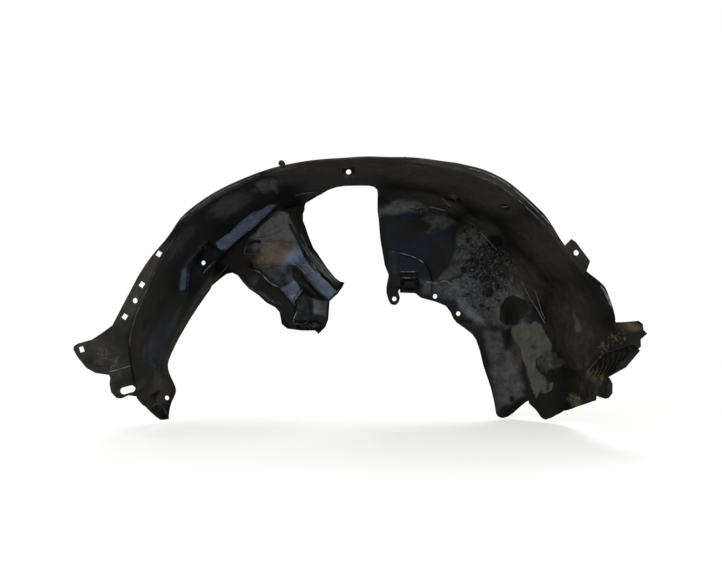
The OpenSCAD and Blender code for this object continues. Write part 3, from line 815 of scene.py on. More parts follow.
def raised_line_tree(material):
    """Sweeps a low round bead along each path, as thick as the path's own bead radius says."""
    tree = new_node_group("raised_lines")
    sides = group_input(tree, "Sides", "NodeSocketInt", BEAD_SIDES)
    inside = add(tree, "NodeGroupInput")
    path = add(tree, "GeometryNodeMeshToCurve", {"Mesh": inside.outputs["Geometry"]})
    ring = add(tree, "GeometryNodeCurvePrimitiveCircle", {"Resolution": inside.outputs["Sides"],
                                                          "Radius": MM})
    radius = add(tree, "GeometryNodeInputNamedAttribute", {"Name": "bead_radius"}, data_type="FLOAT")
    swept = add(tree, "GeometryNodeCurveToMesh", {"Curve": path, "Profile Curve": ring, "Scale": radius,
                                                  "Fill Caps": True})
    finish_tree(tree, swept, material)
    return tree, sides


def raised_lines(shell, material):
    """The thin raised lines, laid on the shell's own surface."""
    surface = BVHTree.FromObject(shell, bpy.context.evaluated_depsgraph_get())
    points, edges, radii, shines = [], [], [], []
    kinds = ((WALL_LINES, wall_point, LINE_PITCH), (ROOF_LINES, roof_point, LINE_PITCH / MM_PER_DEGREE))
    for table, place, pitch in kinds:
        for radius, shine, corners in table.values():
            path = [place(surface, *p) for p in smooth_path(corners, pitch)]
            path = [from_frame(p) for p in path if p is not None]
            start = len(points)
            points += path
            edges += [(start + k, start + k + 1) for k in range(len(path) - 1)]
            from_end = [min(k, len(path) - 1 - k) for k in range(len(path))]
            radii += [radius * min(1, BEAD_END + BEAD_SWELLS * k) for k in from_end]
            shines += [shine] * len(path)
    mesh = bpy.data.meshes.new("raised_paths")
    mesh.from_pydata(to_frame(points).tolist(), edges, [])
    mesh.attributes.new("bead_radius", "FLOAT", "POINT").data.foreach_set("value", radii)
    mesh.attributes.new("painted_highlight", "FLOAT", "POINT").data.foreach_set("value", shines)
    carrier = bpy.data.objects.new("raised_paths", mesh)
    bpy.context.scene.collection.objects.link(carrier)
    tree, sides = raised_line_tree(material)
    lines = grown("raised_lines", carrier, tree, {sides: BEAD_SIDES})
    bpy.data.objects.remove(carrier)
    return lines


# One blade of the vent in its own plane: a chevron, along the vent and up, which stands proud of the frame
VANE_COUNT = 8
VANE_T = 2.2
BLADE_PROUD = 2
BLADE = [(-1, 22), (VANE_T - 1, 22), (VANE_T - 1, 1), (13 + VANE_T, -19), (13, -19), (-1, 0)]
BLADE_FIRST, BLADE_LAST = (9, 111), (85, 75)


def blade_tree(material):
    """Stands copies of the blade in a row from the first place to the last."""
    tree = new_node_group("vent_blades")
    count = group_input(tree, "Count", "NodeSocketInt", VANE_COUNT)
    start = group_input(tree, "Start", "NodeSocketVector")
    end = group_input(tree, "End", "NodeSocketVector")
    inside = add(tree, "NodeGroupInput")
    row = add(tree, "GeometryNodeMeshLine", {"Count": inside.outputs["Count"],
                                             "Start Location": inside.outputs["Start"],
                                             "Offset": inside.outputs["End"]}, mode="END_POINTS")
    copies = add(tree, "GeometryNodeInstanceOnPoints", {"Points": row,
                                                        "Instance": inside.outputs["Geometry"]})
    finish_tree(tree, copies, material)
    return tree, count, start, end


def vent_blades(material):
    """The row of blades: one blade at the frame's origin, copied along the vent and trimmed to it."""
    shift = ORIGIN - vent_place(0, 0, 0)
    blade = prism("blade", BLADE, -BLADE_PROUD, VENT_DEPTH, lambda u, w, d: vent_place(u, w, d) + shift)
    tree, count, start, end = blade_tree(material)
    first, last = (tuple(to_frame(vent_place(*at, 0))) for at in (BLADE_FIRST, BLADE_LAST))
    row = grown("vent_blades", blade, tree, {count: VANE_COUNT, start: first, end: last})
    bpy.data.objects.remove(blade)
    inside = offset_outline(VENT_OPENING, WALL_T / 2)
    combine(row, prism("inside", inside, -VENT_REACH, VENT_DEPTH + VENT_REACH, vent_place), "INTERSECT")
    return row


# Wear, dirt, painted sheen and painted shade on the side that faces the wheel. Each stain is a soft
# ellipsoid:
# its place across, in depth and up, its half sizes in the same order, its turn in the plane of the wheel,
# and its strength.
STAINS = {
    # Grey-brown road film, fine and matt
    "film": [(-330, 13, 205, 34, 14, 90, 28, 0.36), (-395, 13, 108, 48, 14, 44, 0, 0.32),
             (-372, 14, 84, 34, 12, 28, 0, 0.3), (-346, 205, 30, 28, 60, 38, 0, 1.0),
             (-345, 60, 54, 24, 60, 14, 0, 0.7), (-345, 90, 122, 30, 70, 40, 0, 0.45),
             (-110, 60, 375, 60, 100, 30, 20, 0.9), (-20, 60, 388, 90, 100, 24, 0, 0.95),
             (100, 60, 378, 90, 120, 34, 0, 0.95), (190, 60, 350, 80, 120, 50, 0, 0.75),
             (285, 80, 270, 70, 130, 90, 0, 0.5), (335, 140, 150, 50, 130, 100, 0, 0.4),
             (352, 55, 52, 24, 30, 18, 0, 0.4), (110, 225, 350, 100, 60, 30, 0, 0.75),
             (205, 235, 300, 50, 60, 44, 0, 0.62), (275, 235, 220, 50, 60, 70, 0, 0.55),
             (388, 8, 147, 30, 20, 9, 0, 0.6), (150, 150, 366, 60, 60, 20, 20, 0.8),
             (345, 180, 50, 30, 60, 30, 0, 0.25), (-215, 5, 332, 70, 9, 14, -36, 0.75),
             (268, 278, 80, 18, 30, 60, 10, 0.55), (-312, 244, 130, 26, 14, 110, 22, 0.7),
             (-268, 246, 200, 20, 14, 50, 40, 0.6)],
    # Wiped, greyer dust on the satin plastic
    "haze": [(-78, 275, 222, 40, 30, 40, 35, 0.7), (-207, 96, 334, 60, 80, 40, 38, 0.6),
             (-283, 70, 270, 34, 60, 40, 40, 0.38), (-150, 100, 362, 26, 40, 20, 0, 0.7),
             (-310, 215, 120, 14, 40, 60, 15, 0.2), (83, 264, 350, 80, 25, 14, -14, 1.0),
             (150, 276, 330, 60, 25, 22, -22, 0.5), (-150, 290, 222, 40, 20, 22, 0, 0.4),
             (205, 262, 300, 26, 30, 26, -40, 0.4), (-318, 215, 150, 10, 30, 40, 20, 0.3),
             (-188, 280, 217, 20, 14, 14, 0, 0.2), (255, 279, 172, 60, 20, 44, 0, 0.5),
             (190, 283, 163, 54, 20, 15, 45, 0.5), (-150, 280, 270, 50, 20, 34, 0, 0.6)],
    # Clean satin, deep blue-black, its blue a painted reflection
    "satin_blue_reflection": [(150, 283, 190, 56, 30, 30, -30, 0.7), (-330, 190, 110, 40, 60, 70, 0, 0.8),
             (-290, 200, 225, 44, 40, 60, 0, 0.8), (-246, 232, 275, 50, 30, 30, 30, 0.9),
             (-150, 290, 226, 44, 20, 28, 0, 0.7), (-100, 290, 168, 30, 25, 40, 0, 0.6),
             (-205, 200, 320, 60, 30, 26, 38, 0.7)],
    # Painted sheen: a bright cold reflection painted onto the satin
    "painted_sheen": [(-343, 145, 98, 9, 60, 34, 10, 0.2), (70, 278, 235, 26, 20, 16, 0, 0.12),
              (192, 283, 158, 44, 20, 10, 45, 0.3)],
    # Band scraped and peppered by grit
    "scuff": [(120, 270, 345, 60, 25, 9, -10, 0.9), (-340, 160, 80, 26, 70, 34, 0, 0.6),
              (-375, 14, 100, 24, 10, 24, 0, 0.6)],
    # Pale chalky patches where the surface is worn through
    "chalk": [(246, 278, 143, 22, 20, 11, 10, 0.55), (341, 121, 143, 5, 16, 18, -15, 0.85),
              (337, 140, 165, 3, 16, 22, -15, 0.6), (239, 283, 94, 3, 14, 5, 0, 1.0)],
    # Dried soil
    "soil": [(372, 30, 128, 30, 26, 12, 0, 0.36), (345, 160, 18, 22, 60, 14, 0, 0.75),
             (362, 45, 112, 18, 40, 16, 0, 0.35), (-171, 280, 250, 18, 30, 11, -35, 0.55),
             (-86, 290, 138, 14, 25, 6, 0, 0.4), (360, 40, 66, 20, 30, 12, 0, 0.4)],
    # Warm brown stain, thin as a tea ring
    "tea": [(352, 90, 60, 34, 90, 40, 0, 0.25), (384, 12, 146, 36, 22, 12, 0, 0.35),
            (-345, 180, 30, 24, 70, 30, 0, 0.2), (-330, 60, 44, 18, 50, 12, 0, 0.2),
            (336, 70, 66, 32, 60, 13, -25, 0.6)],
    # Almost black: clean places, and painted shade in recesses, boss hollows, gaps and folds
    "clean_and_painted_shade": [(129, 282, 253, 26, 25, 36, 20, 0.7), (221, 281, 196, 13, 20, 12, 0, 0.9),
              (-261, 222, 268, 6, 30, 20, 0, 1.2), (-320, 97, 190, 34, 60, 60, 28, 1.1),
              (348, 190, 50, 34, 70, 36, 0, 0.5), (300, 274, 100, 9, 20, 9, 0, 0.6),
              (-359, 15, 131, 6, 10, 8, 0, 1.0), (-382, 14, 88, 5, 10, 4, 0, 1.1),
              (-366, 15, 104, 5, 10, 4, 0, 0.9), (-345, 15, 110, 4, 10, 7, 15, 0.9),
              (-355, 15, 122, 5, 10, 5, 15, 0.9), (-150, 80, 376, 14, 30, 5, 0, 0.9),
              (264, 287, 8, 8, 15, 9, 0, 0.7), (214, 279, 292, 12, 20, 12, 0, 0.6),
              (186, 280, 288, 9, 20, 9, 0, 0.6), (-338, 60, 44, 20, 50, 6, 0, 0.9),
              (-210, 275, 243, 22, 30, 14, 15, 0.9), (-400, 13, 98, 22, 10, 14, -35, 0.55),
              (226, 240, 282, 18, 50, 18, 0, 0.85), (219, 84, 327, 8, 12, 8, 0, 1.4),
              (152, 189, 357, 14, 13, 13, 0, 1.6), (-118, 6, 386, 9, 14, 9, 0, 1.3),
              (398, 10, 108, 14, 26, 22, 40, 1.0), (374, 14, 82, 24, 26, 10, -30, 1.0),
              (95, 279, 312, 32, 20, 16, 0, 0.75), (226, 279, 250, 8, 16, 6, 30, 0.8),
              (178, 281, 236, 7, 16, 9, -30, 0.8), (202, 281, 248, 6, 16, 8, 10, 0.8),
              (236, 280, 205, 7, 16, 9, 30, 0.8), (210, 281, 172, 8, 16, 5, 0, 0.7),
              (-362, 18, 62, 14, 12, 7, 25, 0.9)],
}
# Wear, painted sheen and painted shade with a drawn border: its outline across and up, first and last
# depth, softness and strength
ZONES = {
    "haze": [
        # rear wall above the fold, the clip plate, and both sides of the gusset
        ([(-187, 300), (-174, 318), (-147, 339), (-131, 335), (-126, 321), (-114, 295), (-110, 286),
          (-175, 284), (-198, 291)], 258, 300, 4, 1.1),
        ([(-187, 235), (-167, 240), (-141, 239), (-127, 240), (-124, 232), (-119, 221), (-126, 212),
          (-138, 209), (-148, 207), (-161, 212), (-171, 223), (-182, 232)], 270, 312, 1.5, 0.4),
        ([(-116, 171), (-106, 196), (-99, 187), (-94, 164), (-93, 148), (-111, 140), (-121, 141),
          (-116, 161)], 262, 320, 2, 0.25),
        ([(-88, 184), (-61, 180), (-65, 153), (-87, 159)], 262, 320, 3, 0.6),
        # block on the tunnel
        ([(-163, 366), (-136, 372), (-138, 361), (-162, 355)], 40, 190, 2, 0.8),
        # grey patches of the front wall and its hanging part
        ([(164, 302), (176, 305), (187, 288), (191, 267), (189, 246), (182, 232), (165, 223), (147, 216),
          (130, 217), (149, 239), (158, 256), (163, 277)], 255, 300, 4, 0.38),
        ([(105, 216), (130, 214), (154, 216), (182, 232), (200, 224), (217, 200), (214, 161), (190, 172),
          (163, 179), (137, 187), (101, 193)], 255, 300, 6, 0.38),
        ([(214, 128), (242, 128), (253, 103), (266, 76), (280, 51), (287, 30), (285, 12), (271, 3),
          (250, -6), (238, -16), (233, 14), (225, 55), (216, 94)], 262, 310, 9, 0.5),
    ],
    "satin_blue_reflection": [
        # clean satin of the front wall, its blue a painted reflection
        ([(39, 332), (87, 337), (111, 319), (122, 302), (136, 312), (157, 304), (159, 249), (138, 230),
          (122, 230), (112, 247), (101, 256), (80, 262), (48, 269), (38, 297)], 240, 300, 5, 1),
        ([(48, 267), (66, 263), (87, 256), (108, 247), (115, 235), (119, 216), (101, 200), (94, 231),
          (66, 233), (52, 224), (45, 249)], 240, 300, 2, 1),
    ],
    "painted_sheen": [
        # painted sheen on the strip along the ramp, and on the curved strip and ridge beside the pad
        ([(-248, 279), (-221, 300), (-206, 315), (-190, 326), (-174, 335), (-157, 346), (-146, 345),
          (-161, 332), (-173, 322), (-190, 305), (-203, 297), (-224, 279), (-237, 268), (-245, 271)],
         190, 262, 1.2, 0.6),
        ([(-299, 233), (-293, 238), (-295, 217), (-297, 200), (-303, 198), (-303, 208), (-301, 223)],
         150, 240, 1.5, 0.6),
        ([(-297, 236), (-285, 256), (-269, 274), (-257, 283), (-264, 274), (-277, 260), (-289, 244),
          (-293, 237)], 160, 250, 2.5, 0.3),
        # painted sheen on the rear wall: beside the warm brown patch, on the rolled band, and on the facet
        ([(-143, 239), (-139, 256), (-124, 270), (-114, 279), (-103, 270), (-98, 258), (-105, 251),
          (-110, 242), (-125, 246)], 262, 310, 15, 1.1),
        ([(-106, 258), (-99, 261), (-92, 247), (-82, 238), (-71, 228), (-59, 217), (-47, 205), (-43, 198),
          (-52, 189), (-59, 182), (-79, 200), (-90, 210), (-100, 223), (-107, 235), (-114, 247)],
         250, 310, 2, 0.6),
        ([(-145, 205), (-135, 207), (-129, 214), (-122, 218), (-117, 212), (-110, 203), (-112, 198),
          (-119, 187), (-123, 179), (-132, 186), (-139, 196)], 262, 312, 1.2, 0.72),
        # painted sheen on the front wall above the lower holes
        ([(105, 216), (130, 214), (154, 216), (182, 232), (196, 224), (203, 200), (190, 182), (163, 179),
          (137, 187), (101, 193)], 255, 300, 9, 0.15),
    ],
    "tea": [
        # warm brown patch on the rear wall above the plate
        ([(-187, 239), (-186, 260), (-177, 282), (-131, 283), (-124, 270), (-139, 256), (-153, 242),
          (-167, 242)], 262, 300, 18, 0.9),
    ],
    "clean_and_painted_shade": [
        # rear wall, painted shade: dark wedge behind the band, rim of the opening, gap under the strip,
        # recess, web
        ([(-125, 235), (-116, 235), (-106, 225), (-93, 212), (-79, 196), (-63, 182), (-79, 182), (-97, 189),
          (-106, 200), (-115, 212), (-124, 221)], 262, 320, 1.5, 1),
        ([(-126, 316), (-114, 295), (-105, 275), (-96, 259), (-87, 247), (-75, 233), (-59, 219), (-45, 205),
          (-43, 198), (-49, 200), (-64, 216), (-82, 231), (-94, 245), (-103, 258), (-108, 270), (-116, 286),
          (-131, 316)], 240, 320, 1.2, 1),
        ([(-234, 268), (-225, 275), (-210, 287), (-192, 302), (-173, 318), (-158, 331), (-162, 333),
          (-172, 323), (-190, 308), (-203, 297), (-224, 280)], 205, 280, 0.8, 1),
        ([(-201, 279), (-196, 286), (-186, 289), (-179, 288), (-179, 282), (-187, 284), (-196, 282)],
         262, 312, 0.8, 1),
        ([(-181, 223), (-167, 214), (-146, 202), (-132, 186), (-121, 171), (-137, 173), (-155, 184),
          (-174, 196), (-188, 207)], 262, 330, 4, 1),
        # smooth patch of the front wall, painted shade on the underside of the foot, low front of the
        # tunnel
        ([(242, 172), (252, 186), (263, 191), (279, 184), (287, 182), (291, 168), (285, 154), (277, 147),
          (269, 138), (251, 138), (240, 147)], 262, 300, 1.5, 1),
        ([(-376, 24), (-345, 30), (-347, 14), (-344, -5), (-336, -20), (-350, -24)], 60, 260, 4, 1),
        ([(300, 48), (315, 61), (342, 73), (347, 81), (354, 96), (358, 91), (349, 72), (347, 46), (325, 38),
          (322, 19), (289, 10), (281, 26)], 30, 250, 7, 0.7),
    ],
    "chalk": [
        ([(263, 136), (272, 138), (282, 145), (293, 139), (300, 146), (309, 139), (315, 126), (325, 105),
          (324, 93), (314, 94), (307, 83), (300, 77), (303, 63), (315, 49), (328, 41), (326, 27), (316, 19),
          (309, 24), (304, 11), (298, 24), (294, 38), (288, 62), (280, 85), (278, 99), (267, 111),
          (260, 126)], 200, 300, 1.2, 1),
        ([(310, 94), (331, 94), (339, 78), (334, 56), (322, 50), (310, 59), (303, 76)], 180, 300, 2, 0.5),
    ],
    "scuff": [
        ([(164, 295), (188, 321), (242, 327), (263, 302), (263, 248), (263, 196), (242, 175), (210, 154),
          (176, 182), (165, 224)], 240, 300, 6, 1),
    ],
}


# Where a stain starts and is full, as distances from its middle in shares of its half sizes
STAIN_FADES = (1.35, 0.35)
# How softly a zone ends at its first and last depth
ZONE_DEPTH_EDGE = 10
# The point in front of the wheel's space that the worn side faces, and how squarely, as cosines, a surface
# has to face it before it wears and to wear fully
WORN_SIDE_FACES = (0, -200, 60)
WORN_FACING = (-0.15, 0.1)


def stain_depth(points, x, y, z, across, deep, up, turn, strength):
    """How deep each point lies in a stain: its strength at the middle, fading to nothing past its edge."""
    c, s = math.cos(math.radians(turn)), math.sin(math.radians(turn))
    dx, dy, dz = (points - (x, y, z)).T
    distance = np.sqrt(((dx * c - dz * s) / across) ** 2 + (dy / deep) ** 2 + ((dx * s + dz * c) / up) ** 2)
    return strength * step(*STAIN_FADES, distance)


def zone_depth(points, outline, first, last, softness, strength):
    """The same for a zone with a drawn border: full inside it, nothing outside."""
    x, y, z = points.T
    inside = np.zeros(len(points), bool)
    nearest = np.full(len(points), 1e9)
    for (ax, az), (bx, bz) in zip(outline, outline[1:] + outline[:1]):
        length_squared = (bx - ax) ** 2 + (bz - az) ** 2
        along = np.clip(((x - ax) * (bx - ax) + (z - az) * (bz - az)) / length_squared, 0, 1)
        nearest = np.minimum(nearest, np.hypot(x - ax - along * (bx - ax), z - az - along * (bz - az)))
        crosses = (az > z) != (bz > z)
        inside ^= crosses & (x < ax + (z - az) * (bx - ax) / (bz - az if bz != az else 1))
    signed = np.where(inside, nearest, -nearest)
    return strength * step(-softness, softness, signed) * between(y, first, last, ZONE_DEPTH_EDGE)


def facing_wheel(thing, points):
    """1 for the vertices on the side that faces the wheel, and 0 behind."""
    normals = np.empty(len(points) * 3)
    thing.data.vertices.foreach_get("normal", normals)
    to_wheel = np.array(WORN_SIDE_FACES) - points
    to_wheel /= np.linalg.norm(to_wheel, axis=1, keepdims=True)
    return step(*WORN_FACING, (normals.reshape(-1, 3) * to_wheel).sum(axis=1))


def mark_wear_and_painted_light(thing):
    """Writes how much of each kind of wear, painted sheen and painted shade every vertex has, as attributes
    that the finish reads.
    """
    flat = np.empty(len(thing.data.vertices) * 3)
    thing.data.vertices.foreach_get("co", flat)
    points = from_frame(flat.reshape(-1, 3))
    seen = facing_wheel(thing, points)
    for kind, stains in STAINS.items():
        depths = [stain_depth(points, *stain) for stain in stains]
        depths += [zone_depth(points, *zone) for zone in ZONES.get(kind, [])]
        depth = np.max(depths, axis=0)
        thing.data.attributes.new(kind, "FLOAT", "POINT").data.foreach_set("value", depth * seen)
    thing.data.attributes.new("behind", "FLOAT", "POINT").data.foreach_set("value", 1 - seen)


def colour(text):
    """A linear colour from an sRGB hex value."""
    parts = [int(text[k:k + 2], 16) / 255 for k in (1, 3, 5)]
    return [c / 12.92 if c <= 0.04045 else ((c + 0.055) / 1.055) ** 2.4 for c in parts] + [1]


def scale_for(size_mm):
    """The scale of a pattern whose features are about size_mm across."""
    return 1 / (size_mm * MM)


# Sockets of a Mix node by what it mixes: below, above and result
MIX_SOCKETS = {"RGBA": (6, 7, 2), "FLOAT": (2, 3, 0)}


def coats(tree, ground, layers, kind="RGBA"):
    """Lays coats of colour, or of a value where the kind is FLOAT, over a ground, each by its amount."""
    below, above, result = MIX_SOCKETS[kind]
    for amount, coat in layers:
        mixed = add(tree, "ShaderNodeMix", {0: amount, below: ground, above: coat}, data_type=kind)
        ground = mixed.outputs[result]
    return ground


def let_through(tree, wear, pattern, low, high, most=1.0):
    """As much of the wear as a pattern lets through: nothing where it is low, the most where it is high."""
    share = add(tree, "ShaderNodeMapRange", {"Value": pattern, "From Min": low, "From Max": high,
                                             "To Max": most}, interpolation_type="SMOOTHSTEP")
    return add(tree, "ShaderNodeMath", {0: wear, 1: share}, operation="MULTIPLY").outputs[0]


def ragged(tree, kind, pattern, reach, edge, most=1.0):
    """A kind of wear with a ragged border: the pattern eats into it, edge is how softly it ends.

    The pattern moves the border by its reach, and where a vertex has none of that wear, there is none.
    """
    depth = add(tree, "ShaderNodeAttribute", attribute_name=kind).outputs["Fac"]
    shift = add(tree, "ShaderNodeMath", {0: pattern, 1: reach, 2: -reach / 2}, operation="MULTIPLY_ADD")
    moved = add(tree, "ShaderNodeMath", {0: depth, 1: shift}, operation="ADD")
    bordered = add(tree, "ShaderNodeMapRange", {"Value": moved, "From Min": 0.5 - edge,
                                                "From Max": 0.5 + edge}, interpolation_type="SMOOTHSTEP")
    return let_through(tree, bordered, depth, 0.0, 0.2, most)


def new_material(name):
    """An empty material, its tree, and the place on the object that its patterns read."""
    material = bpy.data.materials.new(name)
    material.use_nodes = True
    tree = material.node_tree
    tree.nodes.clear()
    return material, tree, add(tree, "ShaderNodeTexCoord").outputs["Object"]


# Patterns of the plastic: about how wide their features are in millimetres, detail and roughness.
# The moulded grain is really a few tenths of a millimetre wide, and is drawn as coarse as it needs to show.
PATTERNS = {
    "cloud": (70, 3, 0.55),
    "blotch": (19, 6, 0.62),
    "fleck": (5, 4, 0.6),
    "grain": (1.6, 2, 0.55),
    "grit": (4.5, 3, 0.5),
    "pebble": (10, 6, 0.7),
    "mottle": (13, 8, 0.72),
}


def moulded_polypropylene():
    """Black injection-moulded polypropylene after years behind a wheel.

    The eye gets a near-black, finely grained, half-matt plastic, clean satin with a painted blue
    reflection, a painted cold sheen on the band, strips and facets, painted shade in recesses and folds,
    grey-brown road film, chalky worn patches, pits and pale nicks from grit, and dried soil.
    """
    material, tree, place = new_material("moulded_black_polypropylene")
    cloud, blotch, fleck, grain, grit, pebble, mottle = [
        add(tree, "ShaderNodeTexNoise", {"Vector": place, "Scale": scale_for(size), "Detail": detail,
                                         "Roughness": roughness}).outputs[0]
        for size, detail, roughness in PATTERNS.values()]

    film = let_through(tree, ragged(tree, "film", blotch, 0.6, 0.5), cloud, -0.4, 0.7)
    haze = let_through(tree, ragged(tree, "haze", blotch, 1.0, 0.5), fleck, -0.3, 0.7)
    # clean satin whose blue tint is a painted reflection
    satin_blue_reflection = ragged(tree, "satin_blue_reflection", cloud, 0.5, 0.45)
    # painted sheen: a bright cold reflection painted into the colour
    painted_sheen = ragged(tree, "painted_sheen", blotch, 0.8, 0.5)
    scuff = ragged(tree, "scuff", blotch, 0.9, 0.3)
    scraped = let_through(tree, scuff, fleck, 0.45, 0.75)
    nicks = let_through(tree, scuff, grit, 0.58, 0.64, 0.55)
    pits = let_through(tree, scuff, pebble, 0.55, 0.60)
    tea = ragged(tree, "tea", blotch, 1.2, 0.5, 0.85)
    chalk = ragged(tree, "chalk", blotch, 1.5, 0.4)
    thin_chalk = add(tree, "ShaderNodeMath", {0: chalk, 1: 0.95}, operation="MULTIPLY")
    # near black: clean places, and painted shade in recesses, boss hollows, gaps and folds
    clean_and_painted_shade = ragged(tree, "clean_and_painted_shade", blotch, 1.0, 0.16)
    soil = ragged(tree, "soil", fleck, 1.5, 0.25)
    caked = let_through(tree, soil, fleck, 0.3, 0.6)

    behind = add(tree, "ShaderNodeAttribute", attribute_name="behind").outputs["Fac"]
    tone = coats(tree, colour("#0e0e0d"), [(cloud, colour("#171615"))])
    plain_back = coats(tree, colour("#1d1c1b"), [(cloud, colour("#2c2a27"))])
    tone = coats(tree, tone, [
        (behind, plain_back), (satin_blue_reflection, colour("#0f151f")), (film, colour("#4a473f")),
        (haze, colour("#5d5e5f")), (painted_sheen, colour("#65738a")), (scraped, colour("#45484a")),
        (tea, colour("#695b4b")), (thin_chalk, colour("#4d4d47")), (clean_and_painted_shade, colour("#12110f")),
        (pits, colour("#0a0b0c")), (nicks, colour("#606366")), (caked, colour("#625942"))])
    uneven = add(tree, "ShaderNodeMapRange", {"Value": mottle, "From Min": 0.3, "From Max": 0.7,
                                              "To Min": 0.6, "To Max": 1.4})
    tone = add(tree, "ShaderNodeHueSaturation", {"Value": uneven, "Color": tone})
    dull = coats(tree, 0.5, [(film, 0.75), (satin_blue_reflection, 0.4), (painted_sheen, 0.38), (scuff, 0.6), (chalk, 0.75),
                             (soil, 0.9)], "FLOAT")

    small = add(tree, "ShaderNodeBump", {"Strength": 0.5, "Distance": 0.12 * MM, "Height": grain})
    flaked = add(tree, "ShaderNodeMath", {0: scuff, 1: fleck}, operation="MULTIPLY")
    chipped = add(tree, "ShaderNodeMath", {0: pits, 1: -0.8, 2: flaked}, operation="MULTIPLY_ADD")
    chips = add(tree, "ShaderNodeBump", {"Strength": 0.8, "Distance": 0.8 * MM, "Height": chipped,
                                         "Normal": small})
    lumpy = add(tree, "ShaderNodeMath", {0: soil, 1: fleck}, operation="MULTIPLY")
    crust = add(tree, "ShaderNodeBump", {"Strength": 0.8, "Distance": 0.8 * MM, "Height": lumpy,
                                         "Normal": chips})
    surface = add(tree, "ShaderNodeBsdfPrincipled", {"Base Color": tone, "Roughness": dull, "IOR": 1.49,
                                                     "Specular IOR Level": 0.2, "Normal": crust})
    add(tree, "ShaderNodeOutputMaterial", {"Surface": surface})
    return material


def bead_highlight_finish():
    """The beads' plastic: greyer and shinier with a painted highlight broken into fine strokes, painted
    shade where it is low.
    """
    material, tree, place = new_material("bead_painted_highlight_and_shade")
    streaks = add(tree, "ShaderNodeTexNoise", {"Vector": place, "Scale": scale_for(9), "Detail": 4,
                                               "Roughness": 0.6})
    highlight_breaks = add(tree, "ShaderNodeMapRange", {"Value": streaks, "From Min": 0.3, "From Max": 0.6},
               interpolation_type="SMOOTHSTEP")
    # painted highlight where the value is high, painted shade where it is low
    painted_highlight = add(tree, "ShaderNodeAttribute", attribute_name="painted_highlight").outputs["Fac"]
    pale = coats(tree, colour("#141516"), [(painted_highlight, colour("#7f8389"))])
    tone = coats(tree, colour("#1c1d1f"), [(highlight_breaks, pale)])
    surface = add(tree, "ShaderNodeBsdfPrincipled", {"Base Color": tone, "Roughness": 0.42, "IOR": 1.49,
                                                     "Specular IOR Level": 0.3})
    add(tree, "ShaderNodeOutputMaterial", {"Surface": surface})
    return material


def dried_mud():
    """Crumbs of dried mud: pale brown, dead matt."""
    material, tree, place = new_material("dried_mud")
    patches = add(tree, "ShaderNodeTexNoise", {"Vector": place, "Scale": scale_for(6), "Detail": 3,
                                               "Roughness": 0.55})
    drier = add(tree, "ShaderNodeMapRange", {"Value": patches, "From Min": 0.35, "From Max": 0.65},
                interpolation_type="SMOOTHSTEP")
    tone = coats(tree, colour("#4a4032"), [(drier, colour("#7d7260"))])
    grains = add(tree, "ShaderNodeTexNoise", {"Vector": place, "Scale": scale_for(1.2), "Detail": 3,
                                              "Roughness": 0.55})
    lumps = add(tree, "ShaderNodeBump", {"Strength": 0.6, "Distance": 0.3 * MM, "Height": grains})
    surface = add(tree, "ShaderNodeBsdfPrincipled", {"Base Color": tone, "Roughness": 0.95,
                                                     "Specular IOR Level": 0.1, "Normal": lumps})
    add(tree, "ShaderNodeOutputMaterial", {"Surface": surface})
    return material


# Radius of the smallest and the largest crumb, and how many would lie on a square metre of full soil
CRUMB_SIZE = (0.35, 1.1)
CRUMBS_PER_M2 = 26000
CRUMB_FLATNESS = 0.55
# How deep the soil has to lie for the first crumb and for the full number, and the two seeds
CRUMBS_FROM, CRUMBS_FULL = 0.25, 0.9
CRUMB_PLACES_SEED, CRUMB_SIZES_SEED = 7, 11


def crumb_tree(material):
    """Scatters flattened crumbs over the soiled part of a surface."""
    tree = new_node_group("mud_crumbs")
    density = group_input(tree, "Density", "NodeSocketFloat", CRUMBS_PER_M2)
    smallest = group_input(tree, "Smallest", "NodeSocketFloat", CRUMB_SIZE[0])
    largest = group_input(tree, "Largest", "NodeSocketFloat", CRUMB_SIZE[1])
    inside = add(tree, "NodeGroupInput")
    soil = add(tree, "GeometryNodeInputNamedAttribute", {"Name": "soil"}, data_type="FLOAT")
    where = add(tree, "ShaderNodeMapRange", {"Value": soil, "From Min": CRUMBS_FROM,
                                           "From Max": CRUMBS_FULL})
    spread = {"Mesh": inside.outputs["Geometry"], "Density Max": inside.outputs["Density"],
              "Density Factor": where, "Distance Min": MM, "Seed": CRUMB_PLACES_SEED}
    spots = add(tree, "GeometryNodeDistributePointsOnFaces", spread, distribute_method="POISSON")
    crumb = add(tree, "GeometryNodeMeshIcoSphere", {"Radius": MM, "Subdivisions": 1})
    sizes = {2: inside.outputs["Smallest"], 3: inside.outputs["Largest"], "Seed": CRUMB_SIZES_SEED}
    size = add(tree, "FunctionNodeRandomValue", sizes).outputs[1]
    height = add(tree, "ShaderNodeMath", {0: size, 1: CRUMB_FLATNESS}, operation="MULTIPLY")
    shape = add(tree, "ShaderNodeCombineXYZ", {"X": size, "Y": size, "Z": height})
    placed = add(tree, "GeometryNodeInstanceOnPoints", {"Points": spots, "Instance": crumb,
                                                        "Rotation": spots.outputs[2], "Scale": shape})
    finish_tree(tree, placed, material)
    return tree, density, smallest, largest


def mud_crumbs(shell, material):
    """The crumbs that lie on the soiled parts of the shell."""
    tree, density, smallest, largest = crumb_tree(material)
    return grown("mud_crumbs", shell, tree, {density: CRUMBS_PER_M2, smallest: CRUMB_SIZE[0],
                                             largest: CRUMB_SIZE[1]})


def stands_for_liner(thing):
    """Puts a finished piece on the liner's body, in the place of its CAD solid."""
    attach(thing, "root")
    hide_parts("arch_liner")


def smooth_shaded(thing, angle, material):
    """One material over the whole mesh, smooth but for the edges sharper than the angle."""
    thing.data.materials.clear()
    thing.data.materials.append(material)
    for polygon in thing.data.polygons:
        polygon.material_index = 0
        polygon.use_smooth = True
    thing.data.set_sharp_from_angle(angle=math.radians(angle))


